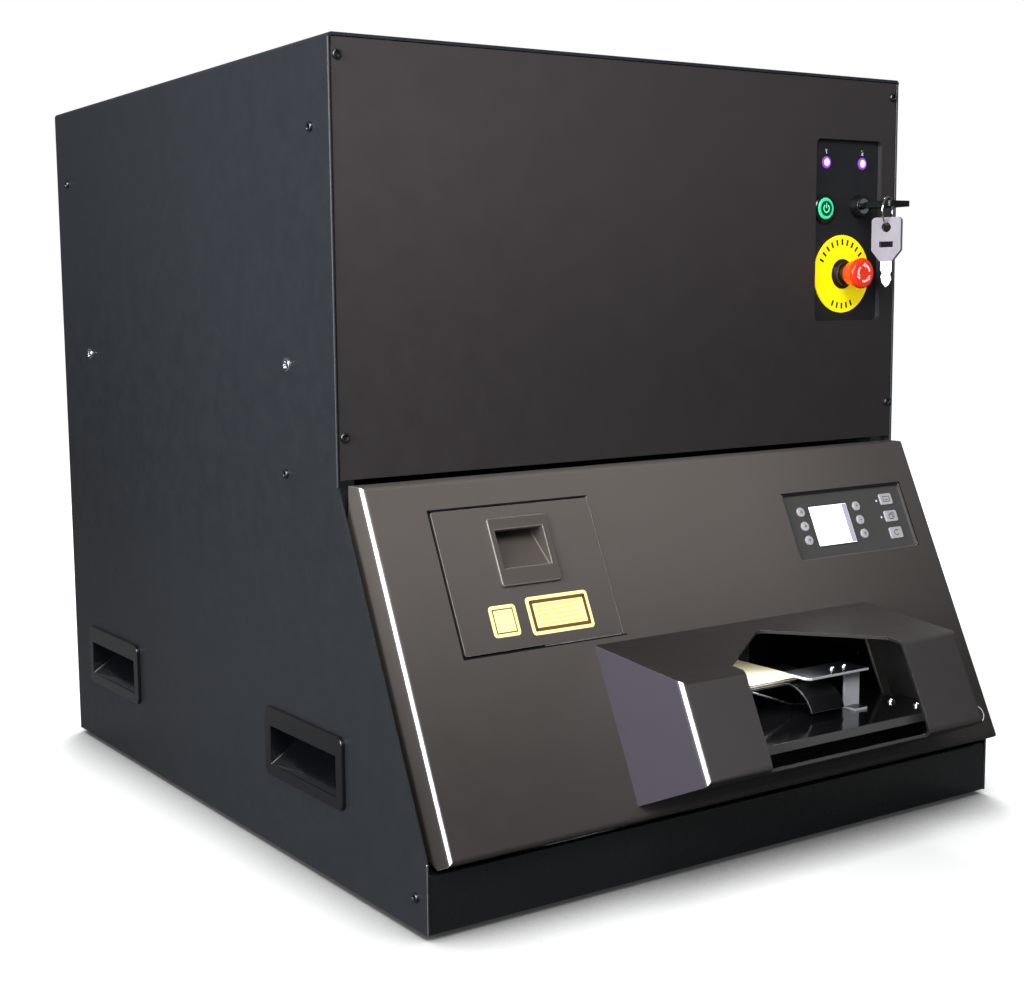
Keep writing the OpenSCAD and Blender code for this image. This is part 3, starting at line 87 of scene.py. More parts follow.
def cabinetPoint(x, y, z):
    return Vector((x, y - cabinet["midDepth"], z + cabinet["footHeight"])) / 1000.0


def frameAt(origin, xAxis, yAxis, zAxis):
    place = Matrix.Identity(4)
    for column, axis in enumerate((xAxis, yAxis, zAxis)):
        for row in range(3):
            place[row][column] = axis[row] / 1000.0
    place.translation = origin
    return place


def slopePlace(x=0.0, s=0.0, t=0.0):
    # local x to the right, y up the slope, z out of it
    a = cabinet["slopeAngle"]
    y = s * math.sin(a) - t * math.cos(a)
    z = cabinet["slopeFoot"] + s * math.cos(a) + t * math.sin(a)
    along, out = (0, math.sin(a), math.cos(a)), (0, -math.cos(a), math.sin(a))
    return frameAt(cabinetPoint(x, y, z), (1, 0, 0), along, out)


def frontPlace(x, z, y):
    # local x to the right, y up, z towards the front
    return frameAt(cabinetPoint(x, y, z), (1, 0, 0), (0, 0, 1), (0, -1, 0))


def rearPlace(x, z, y):
    return frameAt(cabinetPoint(x, y, z), (-1, 0, 0), (0, 0, 1), (0, 1, 0))


def sidePlace(side, y, z):
    # side is -1 on the left and 1 on the right; local z points out of the cabinet
    return frameAt(cabinetPoint(side * cabinet["halfWidth"], y, z), (0, side, 0), (0, 0, 1), (side, 0, 0))


def flatPlace(x, y, z):
    return frameAt(cabinetPoint(x, y, z), (1, 0, 0), (0, 1, 0), (0, 0, 1))


# ---------- finishes ----------

def linear(hexColour):
    out = []
    for i in (1, 3, 5):
        c = int(hexColour[i:i + 2], 16) / 255.0
        out.append(c / 12.92 if c <= 0.04045 else ((c + 0.055) / 1.055) ** 2.4)
    return tuple(out) + (1.0,)


def startFinish(name):
    finish = bpy.data.materials.new(name)
    finish.use_nodes = True
    tree = finish.node_tree
    shader = tree.nodes["Principled BSDF"]
    return finish, tree, shader


def addNode(tree, kind, **values):
    node = tree.nodes.new(kind)
    for key, value in values.items():
        if key in node.inputs:
            node.inputs[key].default_value = value
        else:
            setattr(node, key, value)
    return node


def noiseFrom(tree, scale, detail=3.0, roughness=0.55, stretch=None):
    place = addNode(tree, "ShaderNodeTexCoord")
    noise = addNode(tree, "ShaderNodeTexNoise", Scale=scale, Detail=detail, Roughness=roughness)
    if stretch:
        mapping = addNode(tree, "ShaderNodeMapping", Scale=stretch)
        tree.links.new(place.outputs["Object"], mapping.inputs["Vector"])
        tree.links.new(mapping.outputs["Vector"], noise.inputs["Vector"])
    else:
        tree.links.new(place.outputs["Object"], noise.inputs["Vector"])
    return noise


def ramp(tree, source, stops):
    node = tree.nodes.new("ShaderNodeValToRGB")
    band = node.color_ramp
    while len(band.elements) < len(stops):
        band.elements.new(0.5)
    for element, (position, colour) in zip(band.elements, stops):
        element.position = position
        element.color = colour
    tree.links.new(source, node.inputs["Fac"])
    return node


def mapped(tree, source, reach, tones, easing="LINEAR"):
    node = addNode(tree, "ShaderNodeMapRange", interpolation_type=easing)
    node.inputs["From Min"].default_value, node.inputs["From Max"].default_value = reach
    node.inputs["To Min"].default_value, node.inputs["To Max"].default_value = tones
    tree.links.new(source, node.inputs["Value"])
    return node.outputs["Result"]


def bump(tree, shader, source, strength, distance):
    node = addNode(tree, "ShaderNodeBump", Strength=strength, Distance=distance)
    tree.links.new(source, node.inputs["Height"])
    tree.links.new(node.outputs["Normal"], shader.inputs["Normal"])
    return node


def grade(colour, amount):
    return tuple(min(1.0, c * amount) for c in colour[:3]) + (1.0,)


# Two brightnesses of one colour, given as (place in the noise, brightness)
def tinted(tree, source, base, dark, light):
    stops = [(dark[0], grade(base, dark[1])), (light[0], grade(base, light[1]))]
    return ramp(tree, source.outputs["Fac"], stops).outputs["Color"]


def roughened(tree, shader, source, rough):
    # most of the noise lies between these two values
    value = mapped(tree, source.outputs["Fac"], (0.3, 0.7), rough)
    tree.links.new(value, shader.inputs["Roughness"])


# Painted light and shade: the colour scaled by a tone that changes smoothly along one axis of the object
def paintedLightFall(tree, colour, axis, reach, tones):
    place = addNode(tree, "ShaderNodeTexCoord")
    parts = addNode(tree, "ShaderNodeSeparateXYZ")
    scaled = addNode(tree, "ShaderNodeVectorMath", operation="SCALE")
    tree.links.new(place.outputs["Object"], parts.inputs["Vector"])
    fall = mapped(tree, parts.outputs[axis], reach, tones, "SMOOTHSTEP")
    tree.links.new(colour, scaled.inputs[0])
    tree.links.new(fall, scaled.inputs["Scale"])
    return scaled.outputs["Vector"]


# Powder coat: a fine orange peel, a broken gloss, faint broad clouds, and painted light and shade,
# a tone that falls off along one axis, given as (axis, from, to, tone from, tone to) in metres
def powderCoat(name, colour, rough=(0.40, 0.52), peel=0.22, falls=()):
    finish, tree, shader = startFinish(name)
    peelScale = 1500.0
    cloud = noiseFrom(tree, 4.0, 3.0)
    tone = tinted(tree, cloud, linear(colour), (0.3, 0.96), (0.7, 1.04))
    for axis, start, end, low, high in falls:
        tone = paintedLightFall(tree, tone, axis, (start, end), (low, high))
    speck = noiseFrom(tree, peelScale * 2.1, 2.0)
    mix = addNode(tree, "ShaderNodeMix", data_type="RGBA", blend_type="MULTIPLY")
    mix.inputs[0].default_value = 0.35
    tree.links.new(tone, mix.inputs[6])
    flecks = ramp(tree, speck.outputs["Fac"], [(0.32, (0.62, 0.62, 0.62, 1)), (0.62, (1, 1, 1, 1))])
    tree.links.new(flecks.outputs["Color"], mix.inputs[7])
    tree.links.new(mix.outputs[2], shader.inputs["Base Color"])
    smear = noiseFrom(tree, 60.0, 5.0, 0.65)
    roughened(tree, shader, smear, rough)
    grain = noiseFrom(tree, peelScale, 2.0, 0.5)
    bump(tree, shader, grain.outputs["Fac"], peel, 0.00012)
    return finish


# Moulded plastic: satin or gloss, with a faint spark-eroded texture
def moulded(name, colour, rough=(0.30, 0.42), texture=0.12, textureScale=2600.0, coat=0.0, clouds=0.06):
    finish, tree, shader = startFinish(name)
    cloud = noiseFrom(tree, 34.0, 3.0)
    tone = tinted(tree, cloud, linear(colour), (0.3, 1 - clouds), (0.7, 1 + clouds))
    tree.links.new(tone, shader.inputs["Base Color"])
    smear = noiseFrom(tree, 150.0, 4.0, 0.6)
    roughened(tree, shader, smear, rough)
    grain = noiseFrom(tree, textureScale, 2.0)
    bump(tree, shader, grain.outputs["Fac"], texture, 0.00006)
    if coat:
        shader.inputs["Coat Weight"].default_value = coat
        shader.inputs["Coat Roughness"].default_value = 0.06
    return finish


# Bare or plated metal with a drawn grain
def drawnMetal(name, colour, rough, grainAlong, depth=0.15):
    finish, tree, shader = startFinish(name)
    grain = noiseFrom(tree, 120.0, 6.0, 0.7, grainAlong)
    tone = tinted(tree, grain, linear(colour), (0.25, 0.82), (0.75, 1.08))
    tree.links.new(tone, shader.inputs["Base Color"])
    roughened(tree, shader, grain, rough)
    shader.inputs["Metallic"].default_value = 1.0
    bump(tree, shader, grain.outputs["Fac"], depth, 0.00004)
    return finish


# Zinc plate: soft crystals of slightly different brightness
def zincPlate(name, colour):
    finish, tree, shader = startFinish(name)
    base = linear(colour)
    place = addNode(tree, "ShaderNodeTexCoord")
    cells = addNode(tree, "ShaderNodeTexVoronoi", Scale=120.0)
    tree.links.new(place.outputs["Object"], cells.inputs["Vector"])
    spangle = addNode(tree, "ShaderNodeSeparateColor")
    tree.links.new(cells.outputs["Color"], spangle.inputs["Color"])
    tint = ramp(tree, spangle.outputs[0], [(0.0, grade(base, 0.8)), (1.0, grade(base, 1.1))])
    tree.links.new(tint.outputs["Color"], shader.inputs["Base Color"])
    smear = noiseFrom(tree, 45.0, 4.0)
    roughened(tree, shader, smear, (0.34, 0.52))
    shader.inputs["Metallic"].default_value = 1.0
    bump(tree, shader, smear.outputs["Fac"], 0.05, 0.0002)
    return finish


# Rubber: matt, with paler dust on it
def rubberFinish(name, colour):
    finish, tree, shader = startFinish(name)
    dust = noiseFrom(tree, 90.0, 6.0, 0.7)
    tree.links.new(tinted(tree, dust, linear(colour), (0.35, 1.0), (0.8, 1.9)), shader.inputs["Base Color"])
    roughened(tree, shader, dust, (0.68, 0.85))
    grain = noiseFrom(tree, 1800.0, 2.0)
    bump(tree, shader, grain.outputs["Fac"], 0.25, 0.0001)
    return finish


# Lit surfaces, and printed ones whose glow is painted light: a colour with a slight unevenness and its own
# glow
def lit(name, colour, glow, strength, rough=0.3):
    finish, tree, shader = startFinish(name)
    cloud = noiseFrom(tree, 260.0, 2.0)
    tone = tinted(tree, cloud, linear(colour), (0.3, 0.95), (0.7, 1.0))
    tree.links.new(tone, shader.inputs["Base Color"])
    halo = tinted(tree, cloud, linear(glow), (0.3, 0.94), (0.7, 1.0))
    tree.links.new(halo, shader.inputs["Emission Color"])
    shader.inputs["Emission Strength"].default_value = strength
    shader.inputs["Roughness"].default_value = rough
    return finish


def ink(name, colour):
    finish, tree, shader = startFinish(name)
    cloud = noiseFrom(tree, 900.0, 3.0)
    tone = tinted(tree, cloud, linear(colour), (0.3, 0.9), (0.7, 1.0))
    tree.links.new(tone, shader.inputs["Base Color"])
    roughened(tree, shader, cloud, (0.42, 0.6))
    return finish


say("finishes")
# painted shade: the case darker towards the foot and towards the rear
casePaint = powderCoat("casePaint", "#1f2328", rough=(0.38, 0.50),
                       falls=[("Z", 0.02, 0.5, 0.86, 1.08), ("Y", -0.02, 0.33, 1.06, 0.7)])
# painted highlight: a lighter, glossier finish for the broken edges of the case
caseRim = powderCoat("caseRim", "#6a7076", rough=(0.20, 0.30), peel=0.1)
# painted light and shade: the upper front panel brighter towards the top and darker towards the right
panelPaint = powderCoat("panelPaint", "#332f30", rough=(0.42, 0.54),
                        falls=[("Z", 0.3, 0.52, 0.8, 1.22), ("X", -0.2, 0.25, 1.08, 0.84)])
# painted highlight: a lighter, glossier finish for the broken edges of the upper panel
panelRim = powderCoat("panelRim", "#4c4848", rough=(0.28, 0.38), peel=0.12)
# painted light and shade: the cover brighter towards the top, darker towards the bottom, at the far left and
# towards the right
coverPaint = powderCoat("coverPaint", "#4c4744", rough=(0.38, 0.50),
                        falls=[("Z", 0.05, 0.27, 0.55, 1.5), ("X", -0.26, -0.06, 0.8, 1.0),
                               ("X", 0.06, 0.25, 1.0, 0.62)])
# painted highlight: a lighter, glossier finish for the broken edges of the cover and door
coverRim = powderCoat("coverRim", "#a9a29d", rough=(0.13, 0.2), peel=0.06)
# painted shade: the hood's front darker towards the right
hoodPaint = powderCoat("hoodPaint", "#3b3838", rough=(0.36, 0.48), falls=[("X", -0.05, 0.2, 1.08, 0.74)])
# painted shade: a darker copy of the hood paint for its top, brighter towards the right
hoodTop = powderCoat("hoodTop", "#2f2c2b", rough=(0.40, 0.52), falls=[("X", -0.12, 0.14, 0.62, 1.5)])
# painted highlight: a bright metal finish for the middle of rounded edges facing the left front
edgeHighlightPaint = drawnMetal("edgeHighlightPaint", "#b8b5bc", rough=(0.3, 0.4), grainAlong=(2, 2, 2), depth=0.02)
# painted shade: a near-black copy of the hood paint for its inside faces
hoodInside = powderCoat("hoodInside", "#0b0b0c", rough=(0.5, 0.62))
# painted light: a lighter copy of the hood paint for its left wall
hoodSide = powderCoat("hoodSide", "#433f49", rough=(0.34, 0.46))
# painted highlight: a lighter, glossier finish for the broken edges of the hood
hoodRim = powderCoat("hoodRim", "#9a969b", rough=(0.12, 0.18), peel=0.05)
plinthPaint = moulded("plinthPaint", "#0c1012", rough=(0.20, 0.30), texture=0.08, coat=0.25)
handleBlack = moulded("handleBlack", "#0b0c0f", rough=(0.14, 0.24), texture=0.05, coat=0.5)
bezelBlack = moulded("bezelBlack", "#0a0a0b", rough=(0.16, 0.26), texture=0.05, coat=0.4)
# painted highlight: a lighter finish for the broken edges of the finger pull
pullRim = moulded("pullRim", "#6d6561", rough=(0.2, 0.3), texture=0.05)
pullPlastic = moulded("pullPlastic", "#4e4845", rough=(0.32, 0.42), texture=0.05, clouds=0.02)
controlPaint = powderCoat("controlPaint", "#1b1c1f", rough=(0.46, 0.58))
displayFilm = moulded("displayFilm", "#454443", rough=(0.36, 0.46), texture=0.1, textureScale=3400.0,
                      clouds=0.03)
darkScrew = drawnMetal("darkScrew", "#5c5f64", rough=(0.26, 0.4), grainAlong=(6, 6, 6))
brightBolt = drawnMetal("brightBolt", "#e4e6ea", rough=(0.16, 0.28), grainAlong=(6, 6, 6))
chrome = drawnMetal("chrome", "#d9dbdf", rough=(0.06, 0.14), grainAlong=(4, 4, 4), depth=0.03)
nickel = drawnMetal("nickel", "#b9babd", rough=(0.18, 0.32), grainAlong=(2, 10, 2))
keyBlack = moulded("keyBlack", "#0d0d0f", rough=(0.24, 0.36), texture=0.1)
# painted highlight: a lighter finish for the broken edges of the spare key's bow
keyGreyRimHighlight = moulded("keyGreyRimHighlight", "#a9a3ad", rough=(0.24, 0.34), texture=0.1)
keyGrey = moulded("keyGrey", "#7d7783", rough=(0.30, 0.42), texture=0.12)
lockBlack = moulded("lockBlack", "#0e0e10", rough=(0.22, 0.32), texture=0.05, coat=0.3)
# painted light: the stop plate and the stop head glow though no lamp is in them
stopYellowPaintedGlow = lit("stopYellowPaintedGlow", "#fbe60c", "#f8e400", 0.42, 0.28)
stopRed = lit("stopRed", "#e8331d", "#e82c18", 0.16, 0.2)
collarBrown = moulded("collarBrown", "#2b1d16", rough=(0.28, 0.4), texture=0.08)
blackInk = ink("blackInk", "#1d1a12")
whiteInk = ink("whiteInk", "#e9e8ec")
brownInk = ink("brownInk", "#6a4a26")
# painted light: the labels glow though no lamp is in them
labelYellowPaintedGlow = lit("labelYellowPaintedGlow", "#fdeea0", "#fdea92", 0.46, 0.35)
labelOrangePaintedGlow = lit("labelOrangePaintedGlow", "#f3cf5a", "#f3c84a", 0.3, 0.35)
lampGlow = lit("lampGlow", "#e2c2ff", "#ecd0ff", 0.62, 0.2)
lampRim = lit("lampRim", "#7d39b8", "#9a4ad8", 0.5, 0.25)
greenGlow = lit("greenGlow", "#3fd79a", "#38d895", 0.42, 0.25)
greenSign = lit("greenSign", "#7af0c0", "#7af5c4", 0.6, 0.25)
greenDark = lit("greenDark", "#0f4a35", "#126a48", 0.15, 0.3)
screenGlow = lit("screenGlow", "#f6f8ff", "#ffffff", 0.85, 0.12)
screenBand = lit("screenBand", "#a5a3b6", "#b0aec4", 0.3, 0.15)
keyCap = moulded("keyCap", "#aeacb2", rough=(0.34, 0.46), texture=0.1)
glyphInk = ink("glyphInk", "#35343a")
trayGloss = moulded("trayGloss", "#08080a", rough=(0.10, 0.18), texture=0.03, coat=0.6)
# painted light: a grey finish for the front face of the glossy black tray
trayEdge = moulded("trayEdge", "#504f50", rough=(0.4, 0.5), texture=0.05, clouds=0.03)
# painted highlight: a lighter finish for the broken edges of the tray
trayRim = moulded("trayRim", "#3c3d40", rough=(0.14, 0.24), texture=0.03, coat=0.4)
# painted highlight: a lighter finish for the broken edges of the chute
chuteRim = moulded("chuteRim", "#4a4b4e", rough=(0.16, 0.26), texture=0.03)
chuteBlack = moulded("chuteBlack", "#111113", rough=(0.18, 0.28), texture=0.05, coat=0.3)
# painted highlight: a lighter finish for the broken edges of the bracket
bracketRim = moulded("bracketRim", "#cfd1d5", rough=(0.16, 0.26), texture=0.02, coat=0.4)
# painted highlight: a lighter finish for the broken edges of the marking unit and power supply
unitRim = drawnMetal("unitRim", "#b4b7bb", rough=(0.24, 0.36), grainAlong=(1, 12, 12))
bracketSteel = moulded("bracketSteel", "#a2a4a9", rough=(0.3, 0.42), texture=0.04, coat=0.3, clouds=0.03)
# painted shade: a darker metal finish for the bracket's upward faces
bracketTop = drawnMetal("bracketTop", "#6c6e72", rough=(0.24, 0.36), grainAlong=(1, 22, 22))
frameZinc = zincPlate("frameZinc", "#85888c")
hingeZinc = zincPlate("hingeZinc", "#6b6e72")
rollerRubber = rubberFinish("rollerRubber", "#24272b")
footRubber = rubberFinish("footRubber", "#141414")
beltRubber = rubberFinish("beltRubber", "#0e0e0e")
motorPaint = powderCoat("motorPaint", "#1b1d20", rough=(0.3, 0.4))
pulleyAlloy = drawnMetal("pulleyAlloy", "#b4b8bc", rough=(0.2, 0.3), grainAlong=(30, 1, 1))
unitAlloy = drawnMetal("unitAlloy", "#8c9096", rough=(0.34, 0.5), grainAlong=(1, 12, 12))
boardGreen = moulded("boardGreen", "#1b5c32", rough=(0.22, 0.34), texture=0.2, textureScale=1200.0)
chipBlack = moulded("chipBlack", "#141416", rough=(0.5, 0.62), texture=0.2)
fanPlastic = moulded("fanPlastic", "#101113", rough=(0.36, 0.5), texture=0.14)
inletPlastic = moulded("inletPlastic", "#0f0f11", rough=(0.34, 0.46), texture=0.16)


# The card's face: a pale sheet with warm patches
def cardFinish():
    finish, tree, shader = startFinish("cardFace")
    cloud = noiseFrom(tree, 42.0, 5.0, 0.6)
    stops = [(0.32, linear("#f4f1ea")), (0.52, linear("#efe6c4")), (0.7, linear("#e8d590"))]
    tint = ramp(tree, cloud.outputs["Fac"], stops)
    tree.links.new(tint.outputs["Color"], shader.inputs["Base Color"])
    grain = noiseFrom(tree, 2200.0, 2.0)
    bump(tree, shader, grain.outputs["Fac"], 0.03, 0.00005)
    shader.inputs["Roughness"].default_value = 0.22
    shader.inputs["Coat Weight"].default_value = 0.4
    return finish


cardFace = cardFinish()


# ---------- making pieces ----------

def finishPiece(name, shape, finishes, body, hides=(), smoothAngle=32.0):
    return finishMesh(name, meshOf(name, shape), finishes, body, hides, smoothAngle)


def finishMesh(name, mesh, finishes, body, hides=(), smoothAngle=32.0):
    for face in mesh.polygons:
        face.use_smooth = True
    mesh.set_sharp_from_angle(angle=math.radians(smoothAngle))
    return placePiece(name, mesh, finishes, body, hides)


def placePiece(name, mesh, finishes, body, hides=()):
    piece = addObject(name, mesh)
    chosen = [0] * len(mesh.polygons)
    mesh.polygons.foreach_get("material_index", chosen)
    mesh.materials.clear()
    for finish in finishes if isinstance(finishes, (list, tuple)) else [finishes]:
        mesh.materials.append(finish)
    mesh.polygons.foreach_set("material_index", chosen)
    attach(piece, body)
    if hides:
        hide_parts(*hides)
    return piece


def bodyOf(node):
    return frame["nodes"][node]["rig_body"]


def applied(source):
    graph = bpy.context.evaluated_depsgraph_get()
    graph.update()
    return bpy.data.meshes.new_from_object(source.evaluated_get(graph))


# Flat faces keep flat shading beside their rounded edges
def weighted(mesh, name):
    source = addObject(name + "Normals", mesh)
    normals = source.modifiers.new("normals", "WEIGHTED_NORMAL")
    normals.keep_sharp = True
    normals.weight = 100
    result = applied(source)
    bpy.data.objects.remove(source)
    return result


softAngle = 34.0  # degrees; edges of a CAD node that turn further are broken


# A CAD node's own shape with its edges broken by a small radius; the broken edge has its own finish, which
# for the rim finishes is lighter and glossier than the faces as a painted highlight, and paint(middle,
# normal) may give a face the finish of another number
def edgeBroken(node, width, finishes, steps=2, smoothAngle=softAngle, paint=None):
    finishes = list(finishes) if isinstance(finishes, (list, tuple)) else [finishes, finishes]
    shape = bmesh.new()
    shape.from_mesh(frame["nodes"][node].data)
    bmesh.ops.remove_doubles(shape, verts=shape.verts, dist=2e-6)
    bmesh.ops.dissolve_limit(shape, angle_limit=math.radians(0.6), verts=shape.verts, edges=shape.edges)
    for face in shape.faces:
        middle = face.calc_center_median() * 1000.0
        face.material_index = paint(middle, face.normal) if paint else 0
    mesh = meshOf(node + "Source", shape)
    source = addObject(node + "Source", mesh)
    for finish in finishes:
        mesh.materials.append(finish)
    if width:
        radius = source.modifiers.new("edgeRadius", "BEVEL")
        radius.width = width / 1000.0
        radius.segments = steps
        radius.limit_method = "ANGLE"
        radius.angle_limit = math.radians(softAngle)
        radius.material = 1 if finishes[1] is not finishes[0] else -1
        radius.use_clamp_overlap = True
    result = applied(source)
    bpy.data.objects.remove(source)
    for face in result.polygons:
        face.use_smooth = True
    result.set_sharp_from_angle(angle=math.radians(smoothAngle))
    words = node.split("_")
    name = words[0] + "".join(w.capitalize() for w in words[1:])
    return placePiece(name, weighted(result, name), finishes, bodyOf(node), (node,))


# Painted highlight: the middle of a rounded edge that faces the left front gets a bright metal finish, left
# of and below given millimetres
def paintHighlightOnEdges(piece, leftOf, below):
    mesh = piece.data
    mesh.materials.append(edgeHighlightPaint)
    for face in mesh.polygons:
        facing = -0.80 < face.normal.x < -0.56 and face.normal.y < -0.3
        if facing and face.center.x * 1000.0 < leftOf and face.center.z * 1000.0 < below:
            face.material_index = len(mesh.materials) - 1


def dressed(finish, *nodes):
    for node in nodes:
        mesh = frame["nodes"][node].data
        mesh.materials.clear()
        mesh.materials.append(finish)


def roundedOutline(width, height, radius, steps=6):
    points = []
    for cx, cy, start in ((1, 1, 0), (-1, 1, 90), (-1, -1, 180), (1, -1, 270)):
        for i in range(steps + 1):
            a = math.radians(start + 90.0 * i / steps)
            across = cx * (width / 2 - radius) + radius * math.cos(a)
            points.append((across, cy * (height / 2 - radius) + radius * math.sin(a)))
    return points


def addSlab(shape, outline, low, high, place, index=0, edge=0.0):
    # an outline between two heights, its upper edge broken by a chamfer
    area = sum(a[0] * b[1] - b[0] * a[1] for a, b in zip(outline, outline[1:] + outline[:1]))
    if area < 0:
        outline = outline[::-1]
    rings = [(low, 0.0), (high - edge, 0.0)]
    if edge:
        rings.append((high, edge))
    count = len(outline)
    made = []
    for z, inset in rings:
        ring = []
        for i in range(count):
            p = Vector(outline[i])
            if inset:
                a = (Vector(outline[i - 1]) - p)
                b = (Vector(outline[(i + 1) % count]) - p)
                na = Vector((a.y, -a.x)).normalized() * -1 if a.length else Vector((0, 0))
                nb = Vector((b.y, -b.x)).normalized() if b.length else Vector((0, 0))
                inward = Vector((-(na + nb).x, -(na + nb).y))
                inward = inward.normalized() if inward.length > 1e-9 else Vector((0, 0))
                p = p + inward * inset
            ring.append(shape.verts.new(place @ Vector((p.x, p.y, z))))
        made.append(ring)
    for lower, upper in zip(made, made[1:]):
        for i in range(count):
            j = (i + 1) % count
            face = shape.faces.new((lower[i], lower[j], upper[j], upper[i]))
            face.material_index = index
    for ring, flip in ((made[0], True), (made[-1], False)):
        face = shape.faces.new(ring[::-1] if flip else ring)
        face.material_index = index


def addTurned(shape, profile, place, index=0, steps=40):
    # a closed profile of (radius, height) turned about local z
    rings = []
    for r, z in profile:
        if r < 1e-6:
            rings.append([shape.verts.new(place @ Vector((0, 0, z)))])
        else:
            turns = [2 * math.pi * i / steps for i in range(steps)]
            spots = [Vector((r * math.cos(a), r * math.sin(a), z)) for a in turns]
            rings.append([shape.verts.new(place @ spot) for spot in spots])
    pairs = list(zip(rings, rings[1:]))
    if len(rings[0]) > 1:
        pairs.append((rings[-1], rings[0]))
    for a, b in pairs:
        for i in range(steps):
            j = (i + 1) % steps
            if len(a) == 1 and len(b) == 1:
                continue
            if len(a) == 1:
                face = shape.faces.new((a[0], b[j], b[i]))
            elif len(b) == 1:
                face = shape.faces.new((a[i], a[j], b[0]))
            else:
                face = shape.faces.new((a[i], a[j], b[j], b[i]))
            face.material_index = index


def addRod(shape, path, radius, steps=10):
    # a round rod along points in metres
    points = [Vector(p) for p in path]
    rings = []
    up = Vector((0.13, 0.21, 0.97))
    for i, p in enumerate(points):
        ahead = (points[min(i + 1, len(points) - 1)] - points[max(i - 1, 0)]).normalized()
        across = ahead.cross(up).normalized()
        other = across.cross(ahead)
        turns = [2 * math.pi * k / steps for k in range(steps)]
        spots = [p + (across * math.cos(a) + other * math.sin(a)) * radius for a in turns]
        rings.append([shape.verts.new(spot) for spot in spots])
    for a, b in zip(rings, rings[1:]):
        for i in range(steps):
            j = (i + 1) % steps
            shape.faces.new((a[i], a[j], b[j], b[i]))
    for ring in (rings[0], rings[-1]):
        shape.faces.new(ring)


def arcPoints(radius, fromDeg, toDeg, steps=10, centre=(0, 0)):
    turns = [math.radians(fromDeg + (toDeg - fromDeg) * i / steps) for i in range(steps + 1)]
    return [(centre[0] + radius * math.cos(a), centre[1] + radius * math.sin(a)) for a in turns]


def addArc(shape, inner, outer, fromDeg, toDeg, low, high, place, steps=14):
    points = arcPoints(outer, fromDeg, toDeg, steps) + arcPoints(inner, toDeg, fromDeg, steps)
    addSlab(shape, points, low, high, place)


def tidied(shape):
    bmesh.ops.recalc_face_normals(shape, faces=shape.faces)
    return shape


# Copies of one small part on points that carry a direction; the tree joins them into one mesh
def repeatTree(name, finish):
    tree = bpy.data.node_groups.new(name, "GeometryNodeTree")
    tree.interface.new_socket("Geometry", in_out="INPUT", socket_type="NodeSocketGeometry")
    part = tree.interface.new_socket("Part", in_out="INPUT", socket_type="NodeSocketObject")
    tree.interface.new_socket("Geometry", in_out="OUTPUT", socket_type="NodeSocketGeometry")
    start = tree.nodes.new("NodeGroupInput")
    end = tree.nodes.new("NodeGroupOutput")
    info = tree.nodes.new("GeometryNodeObjectInfo")
    facing, heading = (addNode(tree, "GeometryNodeInputNamedAttribute", data_type="FLOAT_VECTOR", Name=word)
                       for word in ("facing", "heading"))
    turnOut = tree.nodes.new("FunctionNodeAlignRotationToVector")
    turnOut.axis = "Z"
    turnRound = tree.nodes.new("FunctionNodeAlignRotationToVector")
    turnRound.axis = "X"
    turnRound.pivot_axis = "Z"
    copies = tree.nodes.new("GeometryNodeInstanceOnPoints")
    joined = tree.nodes.new("GeometryNodeRealizeInstances")
    painted = tree.nodes.new("GeometryNodeSetMaterial")
    painted.inputs["Material"].default_value = finish
    link = tree.links.new
    link(start.outputs["Part"], info.inputs["Object"])
    link(facing.outputs["Attribute"], turnOut.inputs["Vector"])
    link(turnOut.outputs["Rotation"], turnRound.inputs["Rotation"])
    link(heading.outputs["Attribute"], turnRound.inputs["Vector"])
    link(start.outputs["Geometry"], copies.inputs["Points"])
    link(info.outputs["Geometry"], copies.inputs["Instance"])
    link(turnRound.outputs["Rotation"], copies.inputs["Rotation"])
    link(copies.outputs["Instances"], joined.inputs["Geometry"])
    link(joined.outputs["Geometry"], painted.inputs["Geometry"])
    link(painted.outputs["Geometry"], end.inputs["Geometry"])
    return tree, part.identifier


def repeated(name, partShape, spots, finish, body, hides=()):
    # spots are frames: the copy's local x and z follow the frame's
    part = addObject(name + "Part", meshOf(name + "Part", partShape))
    seed = bpy.data.meshes.new(name + "Spots")
    seed.from_pydata([tuple(spot.translation) for spot in spots], [], [])
    facing = seed.attributes.new("facing", "FLOAT_VECTOR", "POINT")
    heading = seed.attributes.new("heading", "FLOAT_VECTOR", "POINT")
    for i, spot in enumerate(spots):
        facing.data[i].vector = (spot.to_3x3() @ Vector((0, 0, 1))).normalized()
        heading.data[i].vector = (spot.to_3x3() @ Vector((1, 0, 0))).normalized()
    holder = addObject(name + "Holder", seed)
    tree, partInput = repeatTree(name + "Tree", finish)
    copying = holder.modifiers.new("copies", "NODES")
    copying.node_group = tree
    copying[partInput] = part
    result = applied(holder)
    bpy.data.objects.remove(holder)
    bpy.data.objects.remove(part)
    return finishMesh(name, result, finish, body, hides)


mm = 0.001  # small parts for copying are drawn in metres


def unit():
    return Matrix.Diagonal((mm, mm, mm, 1.0))


# ---------- casing ----------

say("casing")
